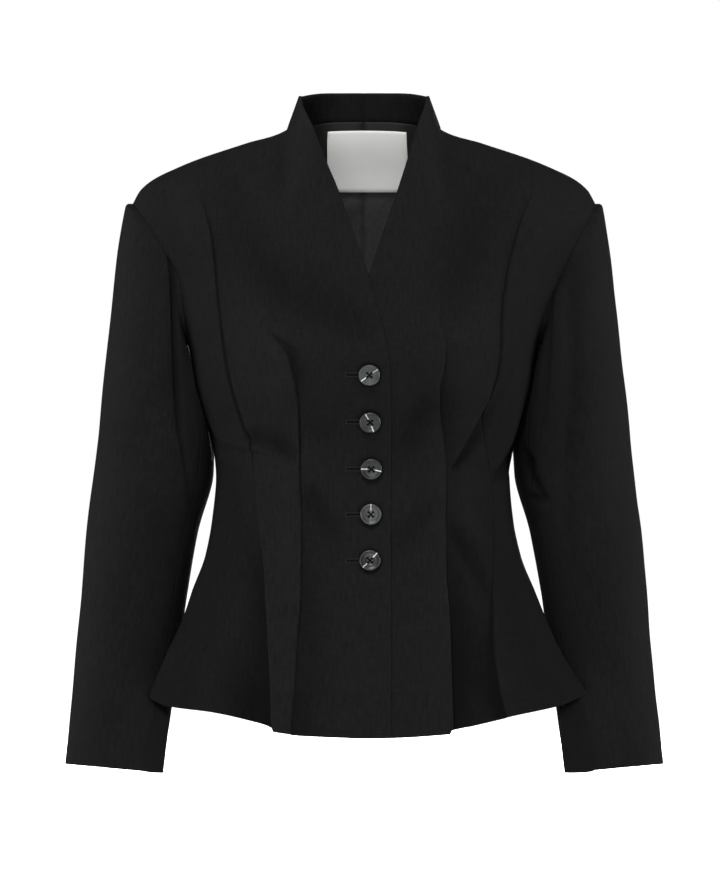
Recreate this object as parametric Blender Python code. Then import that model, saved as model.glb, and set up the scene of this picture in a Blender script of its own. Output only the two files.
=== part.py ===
"""Fitted peplum blazer, filled out as worn but with no wearer inside.

Every cloth piece is a wall on one body form: sections down the body, a rolled shoulder ridge, and tucks
raised along named lines.  Sizes are millimetres.  +x is the wearer's left, -y the front, +z up, and the
origin is the middle of the neck base.
"""
import math

import bpy
import numpy as np

MM = 0.001
RIGHT, LEFT = -1, 1
SIDE_NAMES = {RIGHT: "right", LEFT: "left"}

# Cloth walls and the gaps between pieces
CLOTH_WALL = 2.0
FACING_WALL = 1.0
LINING_WALL = 1.0
LABEL_WALL = 0.8
SEAM_GAP = 0.3
LAYER_GAP = 0.3
LABEL_GAP = 1.1
UNDERLAP_GAP = 1.0
SLEEVE_CLEARANCE = 2.2

# Levels and reference points of the body
UNDERARM_Z = -214.0
FRONT_HEM_Z = -593.4
BACK_HEM_Z = -576.0
NECK_HALF_WIDTH = 77.5
SHOULDER_HALF_WIDTH = 231.0
COLLAR_TIP = (61.2, 34.5)
COLLAR_SIDE_X = 65.0
COLLAR_BACK_Z = 42.4
NECK_SEAM_BACK_Z = 14.6
SIDE_HEM_Z = -563.0
FRONT_ROUND = 2.4
FACING_TOP = 0.98

# Tucks: half the width of the step, where they would meet the shoulder, how they fade and pull
TUCK_SPLIT = 1.5
FRONT_TUCK_TOPS = (109.0, 167.0)
BACK_TUCK_TOPS = (98.0, 160.0)
TUCK_FADE_POWER = 6
LEFT_BACK_STRENGTH = 0.88
TOP_PULL_POWER = 2
HEM_PULL_POWER = 3

# Underlap of the left front beneath the right front
UNDERLAP_X = -15.0
UNDERLAP_FULL = 10.0
UNDERLAP_NONE = 45.0

# Rows of the panels: levels below the underarm, shares of the height above it
LOW_LEVELS = (-593.4, -570, -545, -518, -490, -462, -434, -406, -382, -360, -343, -327, -305, -280, -255, -232,
              UNDERARM_Z)
HIGH_SHARES = (0.12, 0.25, 0.38, 0.50, 0.62, 0.73, 0.82, 0.89, 0.945, 0.985, 1.0)
UNDERARM_ROW = len(LOW_LEVELS) - 1
LINING_FIRST_ROW = 13

# Columns of the panels between their guide lines, and where the collar and neck columns end at the top
FRONT_COLUMNS = (6, 1, 3, 1, 5)
BACK_COLUMNS = (7, 1, 2, 1, 4)
COLLAR_STATIONS = (COLLAR_TIP[0], COLLAR_SIDE_X, 71.0, NECK_HALF_WIDTH, 88.0, 98.0)
NECK_SHARES = np.array([0, 0.2, 0.4, 0.6, 0.78, 0.9, 1.0])
COLLAR_ROWS = 3

# Sleeve shape
CAP_STEPS = (0.14, 0.32, 0.55, 0.78)
TUBE_STEPS = 14
SLEEVE_ROUND = 2.2
FRONT_SLEEVE_SEAM = 138.0
BACK_SLEEVE_SEAM = -112.0

# Neck label on the lining
LABEL_X = (-37.6, 45.0)
LABEL_Z = (-54.3, 5.2)
LABEL_PEAK = 1.3
LABEL_CURL = 30.0
LABEL_COLUMNS = 9
LABEL_ROWS = 6

# Buttons
BUTTON_RADIUS = 10.2
BUTTON_HEIGHT = 3.4
BUTTON_OUTLINE = ((0, 0), (8.8, 0), (10.2, 1.2), (10.0, 2.8), (9.3, 3.4), (8.0, 3.2), (6.8, 2.5), (0, 2.3))
BUTTON_HOLE_RADIUS = 1.0
BUTTON_HOLE_SPREAD = 1.9
BUTTON_SIDES = 22
HOLE_SIDES = 6
BUTTON_LIFT = 0.4
RIM_CHECKS = 12
BUTTON_PLACES = ((5.0, -247.3), (5.7, -292.5), (6.9, -338.0), (6.4, -382.0), (5.6, -426.4))

# Colours: red, green, blue, roughness
SUITING = (0.0130, 0.0130, 0.0135, 0.85)
SATIN = (0.0210, 0.0210, 0.0220, 0.45)
LABEL_SATIN = (0.52, 0.52, 0.51, 0.55)
HORN = (0.075, 0.080, 0.075, 0.35)
SHARP_ANGLE = 40


def smooth(key, keys, values):
    """Monotone cubic curve through the rows of a table, held level past both ends."""
    step = np.diff(keys)
    slope = np.diff(values) / step
    product = slope[:-1] * slope[1:]
    total = slope[:-1] + slope[1:]
    inner = np.where(product > 0, 2 * product / np.where(total == 0, 1, total), 0)
    tangent = np.concatenate([slope[:1], inner, slope[-1:]])
    key = np.clip(np.asarray(key, dtype=float), keys[0], keys[-1])
    place = np.clip(np.searchsorted(keys, key) - 1, 0, len(step) - 1)
    share = (key - keys[place]) / step[place]
    rest = 1 - share
    ends = values[place] * (1 + 2 * share) * rest ** 2 + values[place + 1] * (1 + 2 * rest) * share ** 2
    bends = tangent[place] * share * rest ** 2 - tangent[place + 1] * rest * share ** 2
    return ends + bends * step[place]


class Table:
    """A short table with named columns, read smoothly along its first column."""

    def __init__(self, columns, rows):
        self.names = columns.split()
        self.rows = np.array(sorted(rows), dtype=float)

    def at(self, name, key):
        return smooth(key, self.rows[:, 0], self.rows[:, self.names.index(name)])


BODY = Table("z right_width left_width side_y front_y back_y back_round", [
    (-620, 231, 240, -34, -162, 148, 1.70),
    (-563, 212, 220, -30, -151, 140, 1.70),
    (-520, 195, 196, -23, -138, 128, 1.75),
    (-493, 183, 182, -18, -130, 120, 1.80),
    (-464, 172, 170, -12, -121, 110, 1.85),
    (-425, 157, 155, -4, -111, 99, 1.95),
    (-390, 152, 149, 4, -105, 92, 2.05),
    (-345, 149, 146, 10, -102, 86, 2.10),
    (-325, 150, 149, 12, -104, 88, 2.15),
    (-294, 156, 158, 14, -112, 95, 2.20),
    (-253, 168, 168, 14, -126, 106, 2.25),
    (-222, 173, 173, 12, -131, 113, 2.30),
    (-188, 183, 186, 10, -124, 116, 2.35),
    (-150, 196, 206, 8, -111, 114, 2.40),
    (-107, 226, 233, 5, -100, 107, 2.40),
    (-75, 256, 258, 2, -91, 98, 2.40),
    (-40, 268, 268, 0, -78, 86, 2.40),
    (0, 270, 270, 0, -58, 70, 2.40),
    (45, 270, 270, 0, -36, 60, 2.40),
])

# Shoulder ridge and the side of the collar above it: distance from the middle, height, depth of the roll
RIDGE = Table("x z roll", [
    (0, 200, 120),
    (49, 79, 112),
    (65, 34.5, 108),
    (77.5, 0, 105),
    (118, -13.5, 102),
    (166, -29.5, 98),
    (190, -39.5, 95),
    (209, -48.8, 90),
    (223, -60, 85),
    (231, -74, 80),
    (250, -112, 80),
])

HEM = Table("x z", [
    (-232, -561),
    (-214, -563),
    (-191, -568),
    (-148, -571),
    (-112, -577),
    (-89, -584),
    (-87, -588),
    (-57, -591.4),
    (0, -593.4),
    (81, -590.5),
    (84, -586.3),
    (106, -582),
    (144, -574),
    (189, -567),
    (222, -559),
    (240, -556),
])

EDGES = {
    RIGHT: Table("z x", [
        (34.5, -61.2), (4, -51), (-35, -37.3), (-67, -24.4), (-117, -6.9), (-147, 3.7), (-162, 7.6),
        (-211, 20), (-239, 24.8), (-300, 26), (-620, 26),
    ]),
    LEFT: Table("z x", [
        (34.5, 61.2), (-14, 48.1), (-35, 42), (-67, 32), (-112, 16.4), (-143, 6.6), (-190, -8),
        (-230, UNDERLAP_X), (-620, UNDERLAP_X),
    ]),
}

FRONT_ARMHOLES = {
    RIGHT: Table("z x", [(-74, 231), (-90, 219), (-109, 206.5), (-153, 182.5), (-189, 176.5), (-214, 174)]),
    LEFT: Table("z x", [(-74, 231), (-90, 224), (-104, 216), (-147, 195.5), (-181, 180), (-214, 174)]),
}
BACK_ARMHOLE = Table("z x", [(-74, 231), (-90, 220), (-110, 208), (-150, 186), (-188, 178), (-214, 174)])

# Tucks: where the line runs, how far the cloth stands out on either side of it, and how wide each side is
TUCK_COLUMNS = "z x inner_rise outer_rise inner_width outer_width"
FRONT_TUCKS = {
    RIGHT: (
        Table(TUCK_COLUMNS, [
            (-12, -110, 0, 0, 20, 30),
            (-110, -95, 0, 0, 20, 30),
            (-205, -84, 0, 0.5, 20, 30),
            (-225, -70.3, -1.0, 2.5, 20, 34),
            (-253, -62.7, -1.8, 3.4, 20, 36),
            (-280, -60.5, -2.0, 3.4, 20, 36),
            (-336, -62, -1.6, 2.0, 20, 26),
            (-387, -60, -1.8, 2.0, 24, 20),
            (-445, -60, -2.2, 2.6, 28, 18),
            (-496, -63.5, -2.6, 3.0, 30, 15),
            (-546, -66.2, -3.0, 3.2, 30, 13),
            (-590, -70.3, -3.4, 3.4, 30, 12),
        ]),
        Table(TUCK_COLUMNS, [
            (-30, -166, 0, 0, 14, 24),
            (-66, -160.6, -0.3, 0.6, 14, 24),
            (-110, -148.3, -1.0, 1.6, 14, 26),
            (-180, -138, -1.4, 2.4, 16, 28),
            (-248, -129, -1.4, 2.6, 16, 28),
            (-315, -108.2, -1.0, 2.2, 16, 22),
            (-336, -106, 0.2, 0.6, 18, 20),
            (-358, -101, 1.4, -1.4, 18, 22),
            (-417, -97, 2.4, -2.4, 18, 28),
            (-478, -94.5, 3.0, -3.4, 16, 32),
            (-546, -90.2, 3.2, -4.0, 13, 34),
            (-590, -88.7, 3.4, -4.4, 12, 34),
        ]),
    ),
    LEFT: (
        Table(TUCK_COLUMNS, [
            (-12, 108, 0, 0, 26, 22),
            (-110, 84, 0, 0, 26, 22),
            (-165, 73, 0.3, -0.2, 26, 22),
            (-193, 72.6, 1.4, -1.0, 26, 22),
            (-227, 77, 2.4, -1.6, 28, 22),
            (-266, 71.5, 2.4, -1.6, 28, 22),
            (-299, 73, 2.2, -1.8, 26, 20),
            (-334, 78.8, 2.0, -2.0, 26, 18),
            (-387, 76, 2.0, -2.4, 26, 20),
            (-433, 78, 2.4, -3.4, 28, 22),
            (-483, 82.6, 3.0, -4.6, 30, 22),
            (-546, 84.1, 3.4, -5.4, 30, 22),
            (-590, 85, 3.6, -5.8, 30, 22),
        ]),
        Table(TUCK_COLUMNS, [
            (-30, 168, 0, 0, 14, 24),
            (-68, 163.7, -0.3, 0.6, 14, 24),
            (-98, 152.6, -1.0, 1.6, 14, 26),
            (-183, 133.8, -1.6, 2.6, 16, 28),
            (-238, 130, -1.6, 3.0, 16, 28),
            (-276, 117, -1.6, 3.2, 14, 26),
            (-300, 113, -0.6, 2.4, 14, 22),
            (-345, 119.5, 1.4, 0.4, 12, 20),
            (-388, 124.9, 2.2, -0.8, 12, 24),
            (-445, 124.5, 2.8, -1.6, 14, 26),
            (-502, 125.3, 3.2, -2.4, 16, 28),
            (-566, 138, 2.6, -1.4, 22, 28),
            (-590, 146, 2.0, -0.6, 26, 28),
        ]),
    ),
}

BACK_TUCKS = (
    Table(TUCK_COLUMNS, [
        (-12, 95, 0, 0, 20, 20),
        (-150, 78, 0, 0, 20, 20),
        (-225, 66, 0.4, -0.3, 24, 20),
        (-290, 56, 1.4, -1.0, 24, 20),
        (-343, 52, 1.8, -1.6, 22, 18),
        (-400, 54, 2.0, -2.0, 24, 20),
        (-480, 60, 2.8, -3.2, 28, 22),
        (-590, 68, 3.6, -4.4, 30, 24),
    ]),
    Table(TUCK_COLUMNS, [
        (-30, 160, 0, 0, 20, 20),
        (-150, 132, 0, 0, 20, 20),
        (-250, 112, 0.5, -0.4, 20, 20),
        (-310, 98, 1.4, -1.0, 18, 20),
        (-343, 95, 1.6, -1.4, 16, 20),
        (-400, 100, 1.8, -1.8, 16, 22),
        (-480, 112, 2.6, -2.6, 18, 26),
        (-590, 128, 3.4, -3.4, 20, 30),
    ]),
)

# Sleeve sections, the outer and inner line of the sleeve, its middle from front to back and half its depth
SLEEVE = Table("share outer_x outer_z inner_x inner_z middle_y half_depth front_rise", [
    (0.00, 257, -212, 158, -244, 15, 56, 0),
    (0.20, 265.5, -290, 150, -302, 26, 55, 0),
    (0.33, 271, -345, 151, -345, 32, 53, 0),
    (0.46, 278, -403, 174, -404, 34, 50, 0.6),
    (0.73, 290.5, -522, 191.5, -526, 39, 43, 2.0),
    (1.00, 303, -638.4, 206.7, -647.6, 43, 37, 4.0),
])

# Where the sleeve leaves the armhole seam: turn from the top, step out and up, pull below, pull of the sleeve
CAP = Table("turn out up lead_out lead_down pull", [
    (0, 6.5, 0.4, 4, 14, 60),
    (45, 6.0, 0.4, 6, 10, 56),
    (90, 4.0, 0.2, 8, 6, 34),
    (135, 2.6, 0.8, 2, 6, 16),
    (180, 2.0, 1.6, 0, 6, 14),
])


def unit(vectors):
    """The same directions at length one."""
    return vectors / np.linalg.norm(vectors, axis=-1, keepdims=True)


def half_width(side, z):
    """Distance from the middle of the body to its side at a height."""
    return BODY.at(SIDE_NAMES[side] + "_width", z)


def turn_of(side, x, z, roundness):
    """Angle round the section at a front-view place, zero in the middle and a right angle at the side."""
    share = np.clip(side * np.asarray(x) / half_width(side, z), -1, 1)
    return np.sign(share) * np.arcsin(np.abs(share) ** (roundness / 2))


def section_x(side, turn, z, roundness):
    """Front-view place of an angle round the section at a height."""
    sine = np.sin(turn)
    return side * half_width(side, z) * np.sign(sine) * np.abs(sine) ** (2 / roundness)


def roll_over_ridge(x, z):
    """Share of the full depth reached at a height below the shoulder ridge, a quarter round."""
    drop = (RIDGE.at("z", np.abs(x)) - z) / RIDGE.at("roll", np.abs(x))
    drop = np.clip(drop, 0, 1)
    return np.sqrt(1 - (1 - drop) ** 2)


def front_surface(side, turn, z):
    """Points of the body form on its front half."""
    x = section_x(side, turn, z, FRONT_ROUND)
    deep = np.clip(np.cos(turn), 0, 1) ** (2 / FRONT_ROUND)
    side_y = BODY.at("side_y", z)
    y = side_y + (BODY.at("front_y", z) - side_y) * deep
    return np.stack([x, y * roll_over_ridge(x, z), z], axis=-1)


def back_surface(side, turn, z):
    """Points of the body form on its back half."""
    roundness = BODY.at("back_round", z)
    x = section_x(side, turn, z, roundness)
    deep = np.clip(np.cos(turn), 0, 1) ** (2 / roundness)
    side_y = BODY.at("side_y", z)
    y = side_y + (BODY.at("back_y", z) - side_y) * deep
    return np.stack([x, y * roll_over_ridge(x, z), z], axis=-1)


def row_heights(hem_z, top_z):
    """Heights of a column's rows: shared levels up to the underarm, shares of the rest above it."""
    shares = (np.array(LOW_LEVELS) - LOW_LEVELS[0]) / (UNDERARM_Z - LOW_LEVELS[0])
    low = hem_z + shares * (UNDERARM_Z - hem_z)
    high = UNDERARM_Z + np.array(HIGH_SHARES) * (top_z - UNDERARM_Z)
    return np.concatenate([low, high])


def rise_above_underarm():
    """Share of the height above the underarm for each row, zero below it."""
    return np.concatenate([np.zeros(len(LOW_LEVELS)), np.array(HIGH_SHARES)])


def fill_between(guides, counts, tops, hem_at):
    """Columns between guide lines, (turns, heights) each, drawn on to the wanted tops and the hem."""
    columns = [guides[0]]
    for left, right, count in zip(guides, guides[1:], counts):
        for step in range(1, count + 1):
            share = step / count
            columns.append(tuple(a + (b - a) * share for a, b in zip(left, right)))
    turns = np.stack([column[0] for column in columns], axis=1)
    heights = np.stack([column[1] for column in columns], axis=1)
    pull = (rise_above_underarm() ** TOP_PULL_POWER)[:, None]
    turns = turns + pull * (tops[0] - turns[-1])[None, :]
    heights = heights + pull * (tops[1] - heights[-1])[None, :]
    drop = np.clip((UNDERARM_Z - heights) / (UNDERARM_Z - heights[0]), 0, 1) ** HEM_PULL_POWER
    heights = heights + drop * (hem_at(turns[0], heights[0]) - heights[0])
    return turns, heights


def column_stations(stations, counts):
    """Distances from the middle where the columns end, spread evenly between the guide lines' ends."""
    ends = [stations[0]]
    for left, right, count in zip(stations, stations[1:], counts):
        ends.extend(left + (right - left) * step / count for step in range(1, count + 1))
    return np.array(ends)


def shoulder_ends(tuck_tops):
    """Distances from the middle of the guide lines' ends on the shoulder, out to the armhole."""
    steps = [top + offset for top in tuck_tops for offset in (-TUCK_SPLIT, TUCK_SPLIT)]
    return [*steps, SHOULDER_HALF_WIDTH]


def tuck_rise(tucks, side, x, z, strength=1.0):
    """How far the cloth stands out at a place, from the tucks beside it."""
    rise = np.zeros_like(x)
    for tuck in tucks:
        line = np.abs(tuck.at("x", z))
        away = side * x - line
        inner = tuck.at("inner_rise", z) * np.exp(-(away / tuck.at("inner_width", z)) ** 2)
        outer = tuck.at("outer_rise", z) * np.exp(-(away / tuck.at("outer_width", z)) ** 2)
        blend = np.clip(0.5 + away / (2 * TUCK_SPLIT), 0, 1)
        rise = rise + strength * (inner + (outer - inner) * blend)
    return rise


def sheet_normals(points, outward):
    """Unit normals of a grid of points, all facing the same way as outward."""
    down = np.gradient(points, axis=0)
    across = np.gradient(points, axis=1)
    normals = unit(np.cross(down, across))
    if np.sum(normals * outward) < 0:
        normals = -normals
    return normals


def form_normals(surface, side, turns, heights):
    """Unit normals of the body form at given places, facing out of the body."""
    small_turn, small_height = 0.001, 0.1
    across = surface(side, turns + small_turn, heights) - surface(side, turns - small_turn, heights)
    up = surface(side, turns, heights + small_height) - surface(side, turns, heights - small_height)
    normals = unit(np.cross(across, up))
    return normals * np.sign(np.sum(normals * surface(side, turns, heights) * np.array([1, 1, 0])))


def ridge_normal(side, x):
    """Unit normals along the shoulder ridge, square to its slope."""
    reach = 0.5
    slope = (RIDGE.at("z", np.abs(x) + reach) - RIDGE.at("z", np.abs(x) - reach)) / (2 * reach)
    return unit(np.stack([-side * slope, np.zeros_like(slope), np.ones_like(slope)], axis=-1))


def tuck_guide(side, tuck, offset, top_x, surface_round):
    """A guide line beside a tuck, from the hem to the shoulder ridge."""
    line_x = side * (np.abs(tuck.at("x", FRONT_HEM_Z)) + offset)
    hem_z = float(HEM.at("z", line_x)) if surface_round else BACK_HEM_Z
    heights = row_heights(hem_z, float(RIDGE.at("z", top_x)))
    x = side * (np.abs(tuck.at("x", heights)) + offset)
    roundness = surface_round if surface_round else BODY.at("back_round", heights)
    turns = turn_of(side, x, heights, roundness)
    return turns, heights


def side_guide(side, armhole, hem_z, roundness):
    """The side seam up to the underarm and the armhole seam above it."""
    heights = row_heights(hem_z, float(RIDGE.at("z", SHOULDER_HALF_WIDTH)))
    turns = turn_of(side, side * armhole.at("x", heights), heights, roundness(heights))
    turns[:UNDERARM_ROW + 1] = math.pi / 2
    return turns, heights


def side_hem(side):
    """Height of the hem at the side seam."""
    return float(HEM.at("z", side * half_width(side, SIDE_HEM_Z)))


def front_hem(side, turn, z):
    """Height of the front's hem at an angle round the section."""
    return HEM.at("z", section_x(side, turn, z, FRONT_ROUND))


def back_hem(side, turn, z):
    """Height of the back's hem, level in the middle and drawn to the side seam."""
    return BACK_HEM_Z + (side_hem(side) - BACK_HEM_Z) * np.sin(turn) ** 2


def front_panel(side):
    """Undisplaced points, normals and tuck rises of one front, columns from its edge to the side seam."""
    edge = EDGES[side]
    heights = row_heights(FRONT_HEM_Z, COLLAR_TIP[1])
    edge_guide = (turn_of(side, edge.at("x", heights), heights, FRONT_ROUND), heights)
    first, second = FRONT_TUCKS[side]
    first_top, second_top = FRONT_TUCK_TOPS
    guides = [
        edge_guide,
        tuck_guide(side, first, -TUCK_SPLIT, first_top - TUCK_SPLIT, FRONT_ROUND),
        tuck_guide(side, first, TUCK_SPLIT, first_top + TUCK_SPLIT, FRONT_ROUND),
        tuck_guide(side, second, -TUCK_SPLIT, second_top - TUCK_SPLIT, FRONT_ROUND),
        tuck_guide(side, second, TUCK_SPLIT, second_top + TUCK_SPLIT, FRONT_ROUND),
        side_guide(side, FRONT_ARMHOLES[side], side_hem(side), lambda z: FRONT_ROUND),
    ]
    shoulder_stations = column_stations(shoulder_ends(FRONT_TUCK_TOPS), FRONT_COLUMNS[1:])
    top_x = np.concatenate([COLLAR_STATIONS, shoulder_stations])
    top_z = RIDGE.at("z", top_x)
    top_z[0] = COLLAR_TIP[1]
    tops = (turn_of(side, side * top_x, top_z, FRONT_ROUND), top_z)
    turns, heights = fill_between(guides, FRONT_COLUMNS, tops, lambda turn, z: front_hem(side, turn, z))
    points = front_surface(side, turns, heights)
    normals = form_normals(front_surface, side, turns, heights)
    normals[-1, 1:] = ridge_normal(side, points[-1, 1:, 0])
    rises = tuck_rise(FRONT_TUCKS[side], side, points[..., 0], points[..., 2])
    rises = rises * (1 - rise_above_underarm() ** TUCK_FADE_POWER)[:, None]
    if side == LEFT:
        beside = points[..., 0] - EDGES[RIGHT].at("x", points[..., 2])
        cover = np.clip((UNDERLAP_NONE - beside) / (UNDERLAP_NONE - UNDERLAP_FULL), 0, 1)
        rises = rises - (CLOTH_WALL + UNDERLAP_GAP) * cover ** 2 * (3 - 2 * cover)
    return points, normals, rises


def neck_seam(share, lift):
    """A place on the back of the stand collar: share 0 at the back, 1 at the shoulder; lift 0 at the seam."""
    x = share * (NECK_HALF_WIDTH + (COLLAR_SIDE_X - NECK_HALF_WIDTH) * lift)
    low = NECK_SEAM_BACK_Z * (1 - share ** 4)
    high = COLLAR_BACK_Z + (RIDGE.at("z", COLLAR_SIDE_X) - COLLAR_BACK_Z) * share ** 2
    return x, low + (high - low) * lift


def back_panel(side):
    """Undisplaced points, normals and tuck rises of one back half, columns from the middle to the side seam."""
    first, second = BACK_TUCKS
    first_top, second_top = BACK_TUCK_TOPS
    neck_x, neck_z = neck_seam(NECK_SHARES, 0.0)
    heights = row_heights(BACK_HEM_Z, neck_z[0])
    guides = [
        (np.zeros_like(heights), heights),
        tuck_guide(side, first, -TUCK_SPLIT, first_top - TUCK_SPLIT, None),
        tuck_guide(side, first, TUCK_SPLIT, first_top + TUCK_SPLIT, None),
        tuck_guide(side, second, -TUCK_SPLIT, second_top - TUCK_SPLIT, None),
        tuck_guide(side, second, TUCK_SPLIT, second_top + TUCK_SPLIT, None),
        side_guide(side, BACK_ARMHOLE, side_hem(side), lambda z: BODY.at("back_round", z)),
    ]
    shoulder_stations = column_stations(shoulder_ends(BACK_TUCK_TOPS), BACK_COLUMNS[1:])
    top_x = np.concatenate([neck_x, shoulder_stations])
    top_z = np.concatenate([neck_z, RIDGE.at("z", shoulder_stations)])
    tops = (turn_of(side, side * top_x, top_z, BODY.at("back_round", top_z)), top_z)
    turns, heights = fill_between(guides, BACK_COLUMNS, tops, lambda turn, z: back_hem(side, turn, z))
    points = back_surface(side, turns, heights)
    normals = form_normals(back_surface, side, turns, heights)
    on_ridge = len(NECK_SHARES) - 1
    normals[-1, on_ridge:] = ridge_normal(side, points[-1, on_ridge:, 0])
    normals[:, 0, 0] = 0
    normals = unit(normals)
    strength = LEFT_BACK_STRENGTH if side == LEFT else 1.0
    rises = tuck_rise(BACK_TUCKS, side, points[..., 0], points[..., 2], strength)
    rises = rises * (1 - rise_above_underarm() ** TUCK_FADE_POWER)[:, None]
    rises[:, 0] = 0
    return points, normals, rises


def collar_band(side, high_lift):
    """Points and normals of the back of the stand collar, rows from its seam up to a share of its height."""
    lifts = np.linspace(0.0, high_lift, COLLAR_ROWS + 1)
    x, z = neck_seam(NECK_SHARES[None, :], lifts[:, None])
    turns = turn_of(side, side * x, z, BODY.at("back_round", z))
    points = back_surface(side, turns, z)
    normals = form_normals(back_surface, side, turns, z)
    normals[:, -1] = ridge_normal(side, points[:, -1, 0])
    normals[:, 0, 0] = 0
    return points, unit(normals)


def draw_back(outer, inner, edges, amount):
    """Pull the named edges of a wall's two grids back from their seams."""
    moves = {
        "hem": (np.s_[0, :], np.s_[1, :]),
        "top": (np.s_[-1, :], np.s_[-2, :]),
        "first": (np.s_[:, 0], np.s_[:, 1]),
        "last": (np.s_[:, -1], np.s_[:, -2]),
    }
    for edge in edges:
        rim, beside = moves[edge]
        line = outer[rim]
        along = unit(np.diff(line, axis=0))
        facing = unit(outer[rim] - inner[rim])
        inward = unit(np.cross(unit(facing[:-1] + facing[1:]), along))
        if np.sum(inward * (outer[beside] - line)[:-1]) < 0:
            inward = -inward
        before, after = inward[:-1], inward[1:]
        mitre = (before + after) / (1 + np.sum(before * after, axis=-1, keepdims=True))
        step = np.concatenate([inward[:1], mitre, inward[-1:]]) * amount
        outer[rim] += step
        inner[rim] += step
    return outer, inner


def cloth_material(name, colour):
    """A plain material from a row of colour and roughness."""
    material = bpy.data.materials.new(name)
    material.use_nodes = True
    shader = material.node_tree.nodes["Principled BSDF"]
    shader.inputs["Base Color"].default_value = (*colour[:3], 1.0)
    shader.inputs["Roughness"].default_value = colour[3]
    shader.inputs["Metallic"].default_value = 0.0
    return material


def place_mesh(name, vertices, faces, material):
    """A named object from points in millimetres, faces turned outward."""
    mesh = bpy.data.meshes.new(name)
    mesh.from_pydata([tuple(float(value) * MM for value in vertex) for vertex in vertices], [], faces)
    mesh.materials.append(material)
    mesh.shade_smooth()
    mesh.set_sharp_from_angle(angle=math.radians(SHARP_ANGLE))
    mesh.validate()
    piece = bpy.data.objects.new(name, mesh)
    bpy.context.collection.objects.link(piece)
    return piece


def split_short(vertices, first, second, third, fourth):
    """Two triangles of a four-cornered face, parted along its shorter diagonal."""
    if np.linalg.norm(vertices[first] - vertices[third]) <= np.linalg.norm(vertices[second] - vertices[fourth]):
        return (first, second, third), (first, third, fourth)
    return (first, second, fourth), (second, third, fourth)


def wall(name, outer, inner, material):
    """A closed cloth wall between two grids of points that match one to one."""
    rows, columns = outer.shape[:2]
    vertices = np.concatenate([outer.reshape(-1, 3), inner.reshape(-1, 3)])
    count = rows * columns
    turned = np.cross(outer[1, 0] - outer[0, 0], outer[0, 1] - outer[0, 0]) @ (outer[0, 0] - inner[0, 0]) < 0
    faces = []
    for row in range(rows - 1):
        for column in range(columns - 1):
            corner = row * columns + column
            opposite = corner + columns + 1
            for side_corner in ((corner + columns, opposite), (opposite, corner + 1)):
                faces.append((corner, *side_corner))
                faces.append(tuple(index + count for index in (*reversed(side_corner), corner)))
    rim = list(range(columns))
    rim += [row * columns + columns - 1 for row in range(1, rows)]
    rim += [(rows - 1) * columns + column for column in range(columns - 2, -1, -1)]
    rim += [row * columns for row in range(rows - 2, 0, -1)]
    for here, there in zip(rim, rim[1:] + rim[:1]):
        faces.extend(split_short(vertices, here, there, there + count, here + count))
    if turned:
        faces = [tuple(reversed(face)) for face in faces]
    return place_mesh(name, vertices, faces, material)


def layer(points, normals, depth, thickness):
    """Outer and inner grids of a layer that lies a given depth inside a surface."""
    outer = points - normals * depth
    return outer, outer - normals * thickness


def share_normals(panel, neighbour, rows):
    """Give two panels that meet along their last columns the same normals there."""
    joint = unit(panel[1][rows, -1] + neighbour[1][rows, -1])
    panel[1][rows, -1] = joint
    neighbour[1][rows, -1] = joint


def raised(panel):
    """Outer points of a panel with its tucks."""
    points, normals, rises = panel
    return points + normals * rises[..., None]


def body_x(side, y, z):
    """Half width of the body at a depth and a height, along the outside of the cloth."""
    side_y = BODY.at("side_y", z)
    behind = y > side_y
    roundness = np.where(behind, BODY.at("back_round", z), FRONT_ROUND)
    reach = np.where(behind, BODY.at("back_y", z), BODY.at("front_y", z)) - side_y
    share = np.clip((y - side_y) / reach, 0, 1)
    return half_width(side, z) * (1 - share ** roundness) ** (1 / roundness)


def clear_of_body(side, points):
    """Press points of the sleeve that would lie in the body out to its side, below the underarm."""
    clear = body_x(side, points[..., 1], points[..., 2]) + SLEEVE_CLEARANCE
    out = side * points[..., 0]
    out = np.where(points[..., 2] < UNDERARM_Z, np.maximum(out, clear), out)
    return np.stack([side * out, points[..., 1], points[..., 2]], axis=-1)


def sleeve_section(side, share, turns):
    """One ring of the sleeve tube; turn 0 is its outer line, a right angle its front."""
    outer = np.array([SLEEVE.at("outer_x", share), SLEEVE.at("outer_z", share)])
    inner = np.array([SLEEVE.at("inner_x", share), SLEEVE.at("inner_z", share)])
    middle, reach = (outer + inner) / 2, (outer - inner) / 2
    bend = 2 / SLEEVE_ROUND
    cosine = np.sign(np.cos(turns)) * np.abs(np.cos(turns)) ** bend
    sine = np.sign(np.sin(turns)) * np.abs(np.sin(turns)) ** bend
    x = middle[0] + reach[0] * cosine
    z = middle[1] + reach[1] * cosine + SLEEVE.at("front_rise", share) * sine
    y = SLEEVE.at("middle_y", share) - SLEEVE.at("half_depth", share) * sine
    return clear_of_body(side, np.stack([side * x, y, z], axis=-1))


def armhole_loop(front, back, front_inner, back_inner):
    """Seam points round the armhole, top, front, underarm, back, with the wall's inner points beside them."""
    def climb(grid):
        return grid[:UNDERARM_ROW - 1:-1, -1]

    seam = np.concatenate([climb(front), climb(back)[-2:0:-1]])
    inside = np.concatenate([climb(front_inner), climb(back_inner)[-2:0:-1]])
    away = np.concatenate([climb(front) - front[:UNDERARM_ROW - 1:-1, -2],
                           (climb(back) - back[:UNDERARM_ROW - 1:-1, -2])[-2:0:-1]])
    away = unit(away)
    underarm = len(front) - 1 - UNDERARM_ROW
    away[underarm] = (0, 0, 1)
    return seam, inside, away, underarm


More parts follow.
